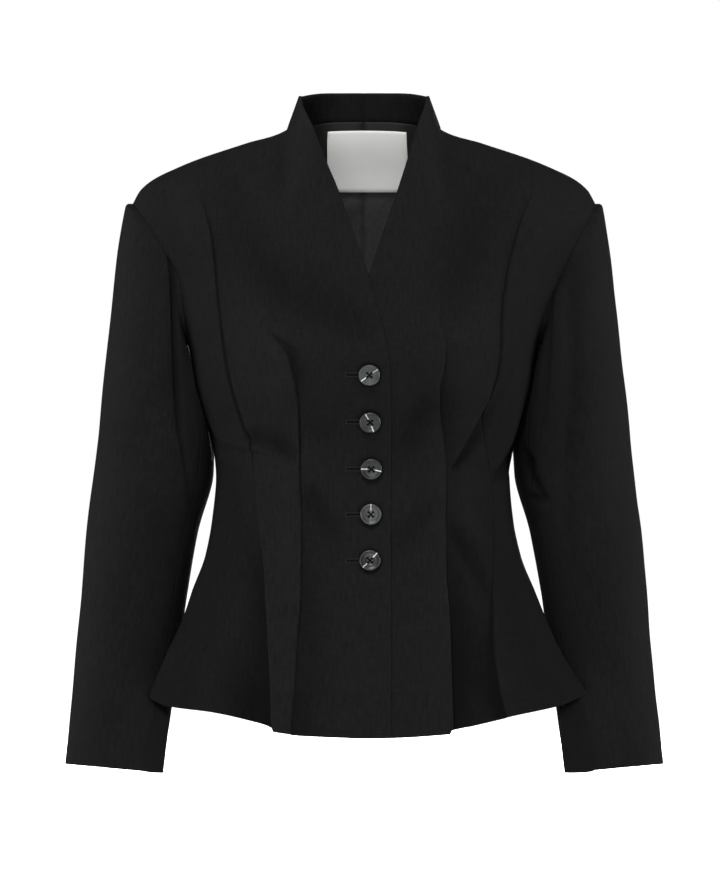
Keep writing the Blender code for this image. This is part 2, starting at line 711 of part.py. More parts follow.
def loop_turns(seam, underarm):
    """Angles round the sleeve for the seam points, by their distance along the seam."""
    ring = np.concatenate([seam, seam[:1]])
    length = np.concatenate([[0], np.cumsum(np.linalg.norm(np.diff(ring, axis=0), axis=1))])
    front = math.pi * length[:underarm + 1] / length[underarm]
    back = math.pi * (1 + (length[underarm + 1:-1] - length[underarm]) / (length[-1] - length[underarm]))
    return np.concatenate([front, back])


def sleeve_rings(side, seam, inside, away, underarm):
    """Outer and inner rings of a whole sleeve from the armhole seam to the hem."""
    turns = loop_turns(seam, underarm)
    from_top = np.degrees(np.minimum(turns, 2 * math.pi - turns))
    start = seam + away * SEAM_GAP / 2
    start_inner = inside + away * SEAM_GAP / 2
    sideways = np.array([side, 0, 0])
    upward = np.array([0, 0, 1])
    step = sideways * CAP.at("out", from_top)[:, None] + upward * CAP.at("up", from_top)[:, None]
    bump = start + step
    biceps = sleeve_section(side, 0.0, turns)
    below = sleeve_section(side, 1 / TUBE_STEPS, turns)
    lead = bump + sideways * CAP.at("lead_out", from_top)[:, None]
    lead = lead - upward * CAP.at("lead_down", from_top)[:, None]
    pull = biceps + unit(biceps - below) * CAP.at("pull", from_top)[:, None]
    rings = [start, bump]
    for share in CAP_STEPS:
        rest = 1 - share
        ends = bump * rest ** 3 + biceps * share ** 3
        ring = ends + 3 * share * rest * (lead * rest + pull * share)
        rings.append(clear_of_body(side, ring))
    rings += [sleeve_section(side, number / TUBE_STEPS, turns) for number in range(TUBE_STEPS + 1)]
    outer = np.stack(rings)
    closed = np.concatenate([outer[:, -1:], outer, outer[:, :1]], axis=1)
    normals = sheet_normals(closed, closed - closed.mean(axis=1, keepdims=True))[:, 1:-1]
    inner = outer - normals * CLOTH_WALL
    inner[0] = start_inner
    return outer, inner, turns


def sleeve_pieces(side, outer, inner, turns, material):
    """Part a sleeve at its two long seams into the upper and the under sleeve."""
    degrees = np.degrees(turns)
    front_seam = int(np.argmin(np.abs(degrees - FRONT_SLEEVE_SEAM)))
    back_seam = int(np.argmin(np.abs(degrees - 360 - BACK_SLEEVE_SEAM)))
    count = len(turns)
    upper = [index % count for index in range(back_seam, count + front_seam + 1)]
    under = list(range(front_seam, back_seam + 1))
    for name, columns in (("upper_sleeve_", upper), ("under_sleeve_", under)):
        grids = draw_back(outer[:, columns], inner[:, columns], ("first", "last"), SEAM_GAP / 2)
        wall(name + SIDE_NAMES[side], *grids, material)


def label_wall(material):
    """The neck label: a small sheet moved in from the back's own points, across the middle seam."""
    depth = CLOTH_WALL + LAYER_GAP + LINING_WALL + LABEL_GAP
    across = np.linspace(*LABEL_X, LABEL_COLUMNS)
    rows = []
    for share in np.linspace(0, 1, LABEL_ROWS):
        z = LABEL_Z[0] + (LABEL_Z[1] - LABEL_Z[0]) * share + LABEL_PEAK * share * np.cos(across / LABEL_CURL)
        sides = np.where(across < 0, RIGHT, LEFT)
        points = [back_surface(side, turn_of(side, x, height, BODY.at("back_round", height)), height)
                  for side, x, height in zip(sides, across, z)]
        rows.append(np.stack(points))
    points = np.stack(rows)
    normals = sheet_normals(points, points * np.array([1, 1, 0]))
    wall("label", *layer(points, normals, depth, LABEL_WALL), material)


def turned_disc(name, profile, sides, material):
    """A solid of revolution about z from a profile that starts and ends on the axis."""
    vertices = [(0, 0, profile[0][1]), (0, 0, profile[-1][1])]
    faces = []
    rings = profile[1:-1]
    for radius, height in rings:
        for number in range(sides):
            angle = 2 * math.pi * number / sides
            vertices.append((radius * math.cos(angle), radius * math.sin(angle), height))
    for number in range(sides):
        following = (number + 1) % sides
        faces.append((0, 2 + following, 2 + number))
        last = 2 + (len(rings) - 1) * sides
        faces.append((1, last + number, last + following))
        for ring in range(len(rings) - 1):
            base = 2 + ring * sides
            faces.append((base + number, base + following, base + sides + following, base + sides + number))
    return place_mesh(name, vertices, faces, material)


def pierce(disc):
    """Cut the four sewing holes through a button."""
    low, high = -1, BUTTON_HEIGHT + 1
    profile = [(0, low), (BUTTON_HOLE_RADIUS, low), (BUTTON_HOLE_RADIUS, high), (0, high)]
    reach = BUTTON_HOLE_SPREAD * math.sqrt(2)
    for number in range(4):
        angle = math.pi / 4 + number * math.pi / 2
        drill = turned_disc(f"hole_{number}", profile, HOLE_SIDES, disc.data.materials[0])
        for vertex in drill.data.vertices:
            vertex.co.x += reach * math.cos(angle) * MM
            vertex.co.y += reach * math.sin(angle) * MM
        cut = disc.modifiers.new("hole", "BOOLEAN")
        cut.operation = "DIFFERENCE"
        cut.object = drill
        evaluated = disc.evaluated_get(bpy.context.evaluated_depsgraph_get())
        pierced = bpy.data.meshes.new_from_object(evaluated)
        disc.modifiers.clear()
        disc.data = pierced
        bpy.data.objects.remove(drill)


def front_height(x, z):
    """Outside of the right front near its edge: its depth at a front-view place, with the tuck rises."""
    turn = turn_of(RIGHT, x, z, FRONT_ROUND)
    point = front_surface(RIGHT, turn, z)
    return point[1] - float(tuck_rise(FRONT_TUCKS[RIGHT], RIGHT, np.array(x), np.array(z)))


def place_button(number, x, z, material):
    """Lay a button flat on the right front, just clear of the cloth beneath its whole back."""
    reach = BUTTON_RADIUS
    fall_x = (front_height(x + reach, z) - front_height(x - reach, z)) / (2 * reach)
    fall_z = (front_height(x, z + reach) - front_height(x, z - reach)) / (2 * reach)
    rim = [(reach * math.cos(angle), reach * math.sin(angle))
           for angle in np.linspace(0, 2 * math.pi, RIM_CHECKS, endpoint=False)] + [(0.0, 0.0)]
    nearest = min(front_height(x + dx, z + dz) - fall_x * dx - fall_z * dz for dx, dz in rim)
    disc = turned_disc(f"button_{number}", BUTTON_OUTLINE, BUTTON_SIDES, material)
    pierce(disc)
    face = unit(np.array([fall_x, -1.0, fall_z]))
    along = unit(np.array([1.0, fall_x, 0.0]))
    up = np.cross(face, along)
    turned = np.stack([along, up, face], axis=1)
    centre = np.array([x, nearest - BUTTON_LIFT, z])
    for vertex in disc.data.vertices:
        vertex.co = turned @ np.array(vertex.co) + centre * MM


def build_panels(suiting, satin):
    """Fronts, backs, collar, facing and lining; gives the armhole seams for the sleeves."""
    armholes = {}
    for side in (RIGHT, LEFT):
        front, back = front_panel(side), back_panel(side)
        share_normals(front, back, np.s_[:UNDERARM_ROW + 1])
        share_normals(front, back, np.s_[-1:])
        front_outer, back_outer = raised(front), raised(back)
        front_inner = front_outer - front[1] * CLOTH_WALL
        back_inner = back_outer - back[1] * CLOTH_WALL
        armholes[side] = armhole_loop(front_outer, back_outer, front_inner, back_inner)
        name = SIDE_NAMES[side]
        gap = SEAM_GAP / 2
        grids = front_outer.copy(), front_inner.copy()
        wall("front_" + name, *draw_back(*grids, ("top", "last"), gap), suiting)
        grids = back_outer.copy(), back_inner.copy()
        wall("back_" + name, *draw_back(*grids, ("top", "first", "last"), gap), suiting)

        collar, collar_normals = collar_band(side, 1.0)
        collar_normals[0] = back[1][-1, :len(NECK_SHARES)]
        grids = layer(collar, collar_normals, 0.0, CLOTH_WALL)
        wall("back_collar_" + name, *draw_back(*grids, ("hem", "first", "last"), gap), suiting)

        facing, facing_normals = collar_band(side, FACING_TOP)
        facing_normals[0] = back[1][-1, :len(NECK_SHARES)]
        grids = layer(facing, facing_normals, CLOTH_WALL + LAYER_GAP, FACING_WALL)
        wall("collar_facing_" + name, *draw_back(*grids, ("hem", "first", "last"), gap), suiting)

        shown = np.s_[LINING_FIRST_ROW:]
        grids = layer(back_outer[shown], back[1][shown], CLOTH_WALL + LAYER_GAP, LINING_WALL)
        wall("lining_" + name, *draw_back(*grids, ("top", "first", "last"), gap), satin)
    return armholes


def build_blazer():
    """All the pieces of the garment."""
    suiting = cloth_material("suiting", SUITING)
    satin = cloth_material("satin", SATIN)
    armholes = build_panels(suiting, satin)
    for side, armhole in armholes.items():
        outer, inner, turns = sleeve_rings(side, *armhole)
        sleeve_pieces(side, outer, inner, turns, suiting)
    label_wall(cloth_material("label_satin", LABEL_SATIN))
    horn = cloth_material("horn", HORN)
    for number, (x, z) in enumerate(BUTTON_PLACES, start=1):
        place_button(number, x, z, horn)


def clear_scene():
    """Remove whatever the scene holds."""
    for item in list(bpy.data.objects):
        bpy.data.objects.remove(item)


clear_scene()
build_blazer()
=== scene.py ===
"""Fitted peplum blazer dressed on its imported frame: cloth shells with their folds, buttons, sewing and stage.

Sizes in the tables are millimetres.  +x is the wearer's left, -y the front and +z up.
"""
import functools
import math

import bpy
import numpy as np
from bpy.props import FloatProperty, FloatVectorProperty, PointerProperty
from bpy.types import Operator, Panel, PropertyGroup
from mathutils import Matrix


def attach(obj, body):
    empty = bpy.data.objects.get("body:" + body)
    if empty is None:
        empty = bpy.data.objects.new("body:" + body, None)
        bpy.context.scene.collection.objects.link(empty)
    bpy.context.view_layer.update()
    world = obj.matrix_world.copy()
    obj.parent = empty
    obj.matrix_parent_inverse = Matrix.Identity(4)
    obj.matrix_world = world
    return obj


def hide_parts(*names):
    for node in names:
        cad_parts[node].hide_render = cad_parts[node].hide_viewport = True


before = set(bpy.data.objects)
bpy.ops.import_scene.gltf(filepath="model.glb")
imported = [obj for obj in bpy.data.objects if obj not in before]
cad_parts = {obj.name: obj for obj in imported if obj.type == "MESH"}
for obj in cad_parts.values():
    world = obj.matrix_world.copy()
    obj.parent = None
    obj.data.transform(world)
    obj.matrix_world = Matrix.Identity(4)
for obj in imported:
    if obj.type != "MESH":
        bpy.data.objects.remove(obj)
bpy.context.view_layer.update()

bl_info = {
    "name": "Peplum Blazer",
    "version": (1, 0, 0),
    "blender": (4, 5, 0),
    "location": "3D View > Sidebar > Blazer",
    "description": "Dresses the packed blazer with cloth, buttons, sewing and a plain stage",
    "category": "Object",
}

MM = 0.001
BODY_NAME = "root"
RIGHT, LEFT = -1, 1
SIDE_NAMES = {RIGHT: "right", LEFT: "left"}

# Seams and layers
LAYER_GAP = 0.3
LABEL_GAP = 1.1
UNDERLAP_GAP = 1.0
CAD_WALL = 2.0
FACING_WALL = 1.0
LINING_WALL = 1.0
LABEL_WALL = 0.8
RIM_ROUND = 0.45
SEAM_DRAW = 0.25
EDGE_REACH = 7.0
SLEEVE_CLEARANCE = 2.6

# Levels and reference points of the body
UNDERARM_Z = -214.0
FRONT_HEM_Z = -593.4
BACK_HEM_Z = -576.0
SIDE_HEM_Z = -563.0
NECK_HALF_WIDTH = 77.5
SHOULDER_HALF_WIDTH = 231.0
COLLAR_TIP = (63.4, 33.0)
COLLAR_SIDE_X = 65.0
COLLAR_BACK_Z = 43.4
NECK_SEAM_BACK_Z = 14.6
LINING_HEM_Z = -282.0
FRONT_ROUND = 2.4
FACING_TOP = 0.98

# Tucks: the step across their line, the guide columns beside it, and how they fade towards the seams
TUCK_SPLIT = 0.4
TUCK_GUIDE = 1.3
CREVICE_WIDTH = 0.5
FRONT_TUCK_TOPS = (109.0, 167.0)
BACK_TUCK_TOPS = (98.0, 160.0)
TUCK_FADE_POWER = 6
LEFT_BACK_STRENGTH = 0.88
TOP_PULL_POWER = 2
HEM_PULL_POWER = 3

# Painted shade that darkens the cloth's colour in its hollows, inside the neck, beside the sleeves and round the
# buttons
HOLLOW_DEPTH = 7.0
HOLLOW_SHADE = 0.56
NECK_SHADE = 1.12
NECK_SHADE_RISE = 25.0
SIDE_SHADE = 0.74
SIDE_SHADE_TURN = 0.7
SIDE_SHADE_SPLIT = 0.3
SIDE_SHADE_HEIGHTS = (-420, -310, -120, -60)
SIDE_SHADE_LEVELS = (1.0, 0.7, 0.45, 0.0)
BUTTON_SHADE = 0.9
BUTTON_SHADE_WIDTH = 2.2

# Slight unevenness of hanging cloth: length and height of each wave, how far the waves lean and sway,
# and where they ease in
SLACK_WAVES = ((140, 0.55), (95, 0.40), (62, 0.28), (41, 0.16), (27, 0.08))
SLACK_LEAN = 0.9
SLACK_SWAY = 0.6
SLACK_SWAY_LENGTH = 0.7
SLACK_SEEDS = {"front": 11, "back": 21, "sleeve": 31}
CLOSING_X = 6.0
CLOSING_STILL = 40.0
CLOSING_EASE = 40.0
CHEST_SLACK_Z = -150.0
CHEST_SLACK_EASE = 60.0
BACK_SLACK_EASE = 30.0
SLEEVE_SLACK = 0.8
SLEEVE_SLACK_ROWS = 20

# Underlap of the left front beneath the right front
UNDERLAP_X = -15.0
UNDERLAP_FULL = 10.0
UNDERLAP_NONE = 45.0

# Fineness of the cloth grids
LOW_ROWS = 252
HIGH_ROWS = 108
HIGH_POWER = 1.5
FRONT_COLUMNS = (36, 10, 48, 10, 44)
BACK_COLUMNS = (30, 6, 18, 6, 24)
BACK_NECK_COLUMNS = 24
INSIDE_STRIDE = 3
FOLD_SAMPLES = 48
GRAIN_STEPS = 25
COLLAR_STATIONS = (COLLAR_TIP[0], COLLAR_SIDE_X, 71.0, NECK_HALF_WIDTH, 88.0, 98.0)
NECK_COLUMNS = 30
COLLAR_ROWS = 16
COLUMN_CROWDING = 0.6
HEAD_ROWS = 9
CAP_ROWS = 40
TUBE_ROWS = 170
SLEEVE_TURNS = 240
LABEL_COLUMNS = 61
LABEL_ROWS = 45

# Sleeves: bend of the head, tuck under the armhole seam, shape of the tube and where its two seams run
HEAD_BEND = (0.4, 0.07)
TUCK_UNDER = (1.2, 2.4)
FIRST_LEAD = 1 / 12
SLEEVE_ROUND = 2.5
SLEEVE_RADIUS = 58.0
FRONT_SLEEVE_SEAM = 138.0
BACK_SLEEVE_SEAM = 248.0
FOLD_FACING = 0.35
SLEEVE_OUTER_X = 185.0
SLEEVE_OUTER_EASE = 20.0

# Label and buttons
LABEL_X = (-37.6, 45.0)
LABEL_Z = (-54.3, 5.2)
LABEL_PEAK = 1.3
LABEL_CURL = 30.0
BUTTON_RADIUS = 10.2
BUTTON_LIFT = 0.4
BUTTON_HEIGHT = 3.4
BUTTON_HOLE_RADIUS = 1.1
BUTTON_HOLE_SPREAD = 2.1
BUTTON_PLACES = ((5.0, -247.3), (5.7, -292.5), (6.9, -338.0), (6.4, -382.0), (5.6, -426.4))
BUTTON_SIDES = 72
HOLE_SIDES = 18
BUTTON_SHARP = 38
# Half a section through a button: distance from its axis and height
BUTTON_PROFILE = (
    (0, 0.1), (8.6, 0.1), (9.5, 0.5), (10.1, 1.2), (10.2, 1.9), (10.05, 2.6), (9.7, 3.15), (9.2, 3.35), (8.6, 3.28),
    (7.9, 2.95), (7.2, 2.6), (6.6, 2.45), (4.6, 2.4), (4.2, 2.3), (3.8, 2.1), (3.2, 2.02), (0, 2.0),
)
# Horn of each button: turn of its pale streak, how bright the streak's two halves are, how far they bend apart, and
# how light the horn round it is
BUTTON_STREAKS = (
    (36, 0.55, 1.0, 0.02, 1.0),
    (-66, 0.9, 0.85, -0.05, 0.52),
    (-7, 1.0, 0.9, -0.09, 0.4),
    (88, 0.7, 0.1, 0.02, 0.8),
    (46, 1.0, 0.7, 0.0, 0.3),
)

# Threads that cross on a button: slant and height of each layer, threads beside each other,
# and their dive into the holes
THREAD_RADIUS = 0.3
THREAD_SIDES = 8
THREAD_LAYERS = ((1, 0.25), (-1, 0.55))
THREAD_OFFSETS = (-0.42, 0.0, 0.42)
THREAD_POINTS = 17
THREAD_BASE_Z = 2.2
THREAD_DIVE = 1.9
THREAD_DIVE_START = 0.78
THREAD_PINCH = 0.35

# Buttonholes
BUTTONHOLE_END_X = -17.0
BUTTONHOLE_POINTS = 24
STITCH_SPACING = 0.5
STITCH_LIFT = 0.15
LIP_SPREAD = 1.75
LIP_STITCH = 2.1
BAR_OFFSET = 0.6
BAR_HALF_HEIGHT = 2.8
BAR_POINTS = 12
BAR_STITCH = 2.0
# The slit's dark thread line is painted shade in the cut between the lips
SLIT_INSET = 0.8
SLIT_STITCH = 1.3
SLIT_THREAD = 0.2

# Soft creases in the lining: middle x, drop below the label, lean in degrees, half length, half width, height
LINING_CREASES = (
    (-15.0, 18.0, 25.0, 10.0, 5.0, 2.8),
    (19.0, 12.0, -48.0, 7.0, 3.5, 2.0),
    (8.0, 22.0, 55.0, 9.0, 4.5, 2.0),
    (-8.0, 52.0, -72.0, 18.0, 4.0, 1.8),
    (7.0, 46.0, 72.0, 16.0, 4.5, 1.7),
    (-3.0, 34.0, -15.0, 8.0, 5.0, 1.6),
)

# Weaves: darkest and lightest tint, roughness, share of the weave pitch, and how strong each effect is
WEAVES = {
    "suiting_weave": dict(dark=0.35, light=1.65, roughness=0.85, pitch=1.0, twill=1.0, slub=0.9, mottle=0.45,
                          bump=0.35, sheen=0.0, specular=0.01),
    "lining_satin": dict(dark=0.6, light=1.4, roughness=0.5, pitch=0.5, twill=0.5, slub=0.5, mottle=1.6,
                         bump=0.25, sheen=0.0, specular=0.2),
    "label_satin_weave": dict(dark=0.93, light=1.07, roughness=0.5, pitch=0.8, twill=0.6, slub=0.5, mottle=0.3,
                              bump=0.25, sheen=0.1, specular=0.4),
}
ROUGHNESS_SPREAD = 0.12
WEAVE_RELIEF = 0.0004
WARP_SCALE = (560, 60, 1)
WEFT_SCALE = (60, 480, 1)

# Horn: its colours, the streak's half width, where the streak starts and ends, and the shift between buttons' clouds
HORN_DARK = (0.0135, 0.0152, 0.0152)
HORN_LIGHT = (0.05, 0.054, 0.054)
HORN_STREAK = (0.62, 0.63, 0.62)
STREAK_WIDTH = 0.042
STREAK_ENDS = ((0.30, 0.40), (1.0, 0.93))
CLOUD_SHIFT = (9, 9, 9)

# Stage, in metres: floor, area lights with their places and sizes, the small light into the neck, and the camera
FLOOR_Z = -0.9
FLOOR_HALF = 9.0
LIGHTS = (
    ("key_light", (-0.4, -1.8, 2.5), 0.9),
    ("left_light", (-2.6, 0.0, -0.2), 1.3),
    ("right_light", (2.6, 0.0, -0.2), 1.3),
    ("front_light", (-0.2, -3.4, 0.2), 1.4),
    ("back_light", (0.3, 3.2, 0.3), 1.2),
)
LEFT_LIGHT_SHARE = 0.95
LIGHT_AIM = (0.0, 0.0, -0.3)
NECK_LIGHT_PLACE = (-0.07, -0.16, 0.23)
NECK_LIGHT_AIM = (0.003, 0.075, -0.085)
NECK_LIGHT_ANGLE = 44
NECK_LIGHT_SOFTNESS = 0.05
CAMERA_X = -0.004
CAMERA_Z = -0.305
SENSOR_WIDTH = 36


def smooth(key, keys, values):
    """Monotone cubic curve through the rows of a table, held level past both ends."""
    step = np.diff(keys)
    slope = np.diff(values) / step
    product = slope[:-1] * slope[1:]
    total = slope[:-1] + slope[1:]
    inner = np.where(product > 0, 2 * product / np.where(total == 0, 1, total), 0)
    tangent = np.concatenate([slope[:1], inner, slope[-1:]])
    key = np.clip(np.asarray(key, dtype=float), keys[0], keys[-1])
    place = np.clip(np.searchsorted(keys, key) - 1, 0, len(step) - 1)
    share = (key - keys[place]) / step[place]
    rest = 1 - share
    ends = values[place] * (1 + 2 * share) * rest ** 2 + values[place + 1] * (1 + 2 * rest) * share ** 2
    bends = tangent[place] * share * rest ** 2 - tangent[place + 1] * rest * share ** 2
    return ends + bends * step[place]


class Table:
    """A short table with named columns, read smoothly along its first column."""

    def __init__(self, columns, rows):
        self.names = columns.split()
        self.rows = np.array(sorted(rows), dtype=float)

    def at(self, name, key):
        return smooth(key, self.rows[:, 0], self.rows[:, self.names.index(name)])


# Body sections by height: half widths, depths at the side, front and back, and how round the back is
BODY = Table("z right_width left_width side_y front_y back_y back_round", [
    (-620, 231, 240, -34, -162, 148, 1.70),
    (-563, 212, 220, -30, -151, 140, 1.70),
    (-520, 195, 196, -23, -138, 128, 1.75),
    (-493, 183, 182, -18, -130, 120, 1.80),
    (-464, 172, 170, -12, -121, 110, 1.85),
    (-425, 157, 155, -4, -111, 99, 1.95),
    (-390, 152, 149, 4, -105, 92, 2.05),
    (-345, 149, 146, 10, -102, 86, 2.10),
    (-325, 150, 149, 12, -104, 88, 2.15),
    (-294, 156, 158, 14, -112, 95, 2.20),
    (-253, 168, 168, 14, -126, 106, 2.25),
    (-222, 173, 173, 12, -131, 113, 2.30),
    (-188, 183, 186, 10, -124, 116, 2.35),
    (-150, 196, 206, 8, -111, 114, 2.40),
    (-107, 226, 233, 5, -100, 107, 2.40),
    (-75, 256, 258, 2, -91, 98, 2.40),
    (-40, 268, 268, 0, -78, 86, 2.40),
    (0, 270, 270, 0, -58, 70, 2.40),
    (45, 270, 270, 0, -36, 60, 2.40),
])

# Shoulder ridge and the side of the collar above it: distance from the middle, height, depth of the roll
RIDGE = Table("x z roll", [
    (0, 200, 120),
    (49, 79, 112),
    (65, 34.5, 108),
    (77.5, 0, 105),
    (118, -13.5, 102),
    (166, -29.5, 98),
    (190, -39.5, 95),
    (209, -48.8, 90),
    (223, -60, 85),
    (231, -74, 80),
    (250, -112, 80),
])

# Height of the hem across the fronts
HEM = Table("x z", [
    (-232, -561), (-214, -563), (-191, -568), (-148, -571), (-112, -577), (-89, -584), (-87, -588), (-57, -591.4),
    (0, -593.4), (81, -590.5), (84, -586.3), (106, -582), (144, -574), (189, -567), (222, -559), (240, -556),
])

# Front edges from the collar down; the left one runs under the right front
EDGES = {
    RIGHT: Table("z x", [
        (34.5, -63.4), (24, -61.4), (12, -56.4), (0, -50.7), (-35, -37.3), (-67, -24.4), (-117, -6.9), (-147, 3.7),
        (-162, 7.6), (-211, 20), (-239, 24.8), (-300, 26), (-620, 26),
    ]),
    LEFT: Table("z x", [
        (34.5, 63.4), (22, 60.4), (8, 55.2), (-14, 48.1), (-35, 42), (-67, 32), (-112, 16.4), (-143, 6.6), (-190, -8),
        (-230, UNDERLAP_X), (-620, UNDERLAP_X),
    ]),
}

# Armhole seams: height and distance from the middle
FRONT_ARMHOLES = {
    RIGHT: Table("z x", [(-74, 231), (-90, 219), (-109, 206.5), (-153, 182.5), (-189, 176.5), (-214, 174)]),
    LEFT: Table("z x", [(-74, 231), (-90, 224), (-104, 216), (-147, 195.5), (-181, 180), (-214, 174)]),
}
BACK_ARMHOLE = Table("z x", [(-74, 231), (-90, 220), (-110, 208), (-150, 186), (-188, 178), (-214, 174)])

# Tucks: where the line runs, how far the cloth stands out on either side, how wide each side is, and how deep
# the crevice is where the cloth folds over itself
TUCK_COLUMNS = "z x inner_rise outer_rise inner_width outer_width crevice"
FRONT_TUCKS = {
    RIGHT: (
        Table(TUCK_COLUMNS, [
            (-12, -110, 0, 0, 20, 30, 0),
            (-110, -97, 0, 0, 20, 30, 0),
            (-205, -90, 0, 0.4, 16, 24, 0),
            (-214, -83.5, -0.6, 1.4, 12, 24, 0.4),
            (-225, -74, -1.2, 2.6, 12, 26, 1.2),
            (-250, -66.5, -1.4, 3.0, 14, 32, 2.8),
            (-270, -63.5, -0.8, 2.2, 16, 34, 3.0),
            (-300, -62.5, -0.5, 1.4, 16, 30, 3.2),
            (-336, -62.5, -0.6, 1.0, 18, 26, 2.8),
            (-387, -60.5, -1.2, 1.2, 24, 22, 1.4),
            (-445, -60.5, -2.0, 1.8, 28, 20, 1.2),
            (-496, -63.5, -2.6, 2.4, 30, 18, 1.2),
            (-546, -66.2, -3.2, 3.0, 30, 16, 1.0),
            (-590, -70.3, -3.4, 3.4, 30, 14, 1.0),
        ]),
        Table(TUCK_COLUMNS, [
            (-30, -166, 0, 0, 14, 24, 0),
            (-66, -160.6, -0.2, 0.4, 14, 24, 0.3),
            (-110, -149.5, -0.6, 0.8, 14, 26, 2.0),
            (-180, -142, -0.8, 1.0, 16, 28, 3.2),
            (-248, -132, -0.8, 1.2, 16, 28, 3.8),
            (-290, -120, -0.6, 1.2, 16, 26, 3.8),
            (-316, -110.5, -0.4, 0.8, 16, 22, 2.6),
            (-336, -108, 0.2, 0.4, 18, 20, 0.5),
            (-358, -105, 1.2, -1.0, 18, 22, 0.5),
            (-389, -103, 1.6, -1.8, 18, 22, 0.5),
            (-430, -98, 1.6, -4.6, 18, 18, 0.5),
            (-478, -94.5, 1.8, -6.4, 16, 26, 0.5),
            (-546, -90.2, 2.2, -7.4, 13, 46, 0.5),
            (-590, -88.7, 2.6, -7.8, 12, 54, 0.5),
        ]),
    ),
    LEFT: (
        Table(TUCK_COLUMNS, [
            (-12, 108, 0, 0, 26, 22, 0),
            (-110, 84, 0, 0, 26, 22, 0),
            (-172, 73, 0.1, -0.1, 26, 22, 0.1),
            (-193, 74, 0.6, -0.5, 24, 20, 0.5),
            (-214, 77.8, 1.2, -1.0, 24, 22, 0.8),
            (-222, 79, 1.6, -2.2, 24, 22, 1.2),
            (-264, 73.7, 1.8, -2.8, 26, 20, 1.8),
            (-289, 75, 1.8, -2.8, 26, 20, 2.0),
            (-338, 80.3, 1.6, -2.2, 26, 16, 2.2),
            (-389, 79.5, 1.6, -2.8, 26, 14, 1.4),
            (-433, 79.5, 2.0, -5.0, 28, 20, 1.2),
            (-483, 82.6, 2.6, -6.4, 30, 26, 1.2),
            (-546, 84.1, 3.2, -7.0, 30, 30, 1.0),
            (-590, 85, 3.6, -7.0, 30, 30, 1.0),
        ]),
        Table(TUCK_COLUMNS, [
            (-30, 168, 0, 0, 14, 24, 0),
            (-68, 163.7, -0.2, 0.4, 14, 24, 0.4),
            (-98, 152.6, -0.6, 1.0, 14, 26, 1.8),
            (-140, 141, -0.6, 1.4, 14, 28, 2.8),
            (-183, 134.4, -0.4, 1.8, 14, 28, 3.4),
            (-238, 132, -0.4, 2.0, 14, 26, 3.6),
            (-270, 123, 0.2, 1.6, 14, 24, 3.0),
            (-285, 118, 0.6, 1.2, 14, 22, 1.2),
            (-300, 117, 1.0, 0.8, 14, 20, 0.8),
            (-345, 123, 1.6, 0.0, 12, 20, 1.4),
            (-388, 127, 1.6, 0.0, 12, 24, 1.2),
            (-445, 125.5, -0.8, -0.6, 22, 26, 1.0),
            (-502, 125.3, -4.0, -0.8, 24, 28, 0.8),
            (-546, 130, -5.0, -0.6, 26, 28, 0.6),
            (-590, 142, -4.6, -0.2, 28, 28, 0.4),
        ]),
    ),
}

# Tucks of the back, mirrored to each side with its own strength
BACK_TUCKS = (
    Table(TUCK_COLUMNS, [
        (-12, 95, 0, 0, 20, 20, 0),
        (-150, 78, 0, 0, 20, 20, 0),
        (-225, 66, 0.4, -0.3, 24, 20, 0.3),
        (-290, 56, 1.4, -1.0, 24, 20, 1.4),
        (-343, 52, 1.8, -1.6, 22, 18, 2.0),
        (-400, 54, 2.0, -2.0, 24, 20, 1.6),
        (-480, 60, 2.8, -3.2, 28, 22, 1.2),
        (-590, 68, 3.6, -4.4, 30, 24, 1.0),
    ]),
    Table(TUCK_COLUMNS, [
        (-30, 160, 0, 0, 20, 20, 0),
        (-150, 132, 0, 0, 20, 20, 0),
        (-250, 112, 0.5, -0.4, 20, 20, 0.6),
        (-310, 98, 1.4, -1.0, 18, 20, 1.6),
        (-343, 95, 1.6, -1.4, 16, 20, 1.8),
        (-400, 100, 1.8, -1.8, 16, 22, 1.4),
        (-480, 112, 2.6, -2.6, 18, 26, 1.2),
        (-590, 128, 3.4, -3.4, 20, 30, 1.0),
    ]),
)

# Sleeve sections by share of the length: the outer and inner line, the middle from front to back, half the depth,
# and how far the front edge rises
SLEEVE = Table("share outer_x outer_z inner_x inner_z middle_y half_depth front_rise", [
    (0.00, 257, -212, 158, -244, 15, 56, 0),
    (0.20, 266.5, -290, 150, -302, 26, 55, 0),
    (0.33, 272.5, -345, 152, -345, 32, 53, 0),
    (0.46, 279.5, -403, 168, -404, 34, 50, 0.6),
    (0.73, 291, -522, 187.5, -526, 39, 43, 2.0),
    (1.00, 303, -638.4, 203.5, -647.6, 43, 37, 4.0),
])

# Where the sleeve leaves the armhole seam: turn from the top, step out and up, how far the cloth runs on out and
# down from there, and how strongly the tube below draws it
CAP = Table("turn out up lead_out lead_down pull", [
    (0, 6.5, 0.4, 4, 14, 60),
    (45, 6.0, 0.4, 6, 10, 56),
    (90, 4.0, 0.2, 8, 6, 34),
    (135, 2.6, 0.8, 2, 6, 16),
    (180, 2.0, 1.6, 0, 6, 14),
])
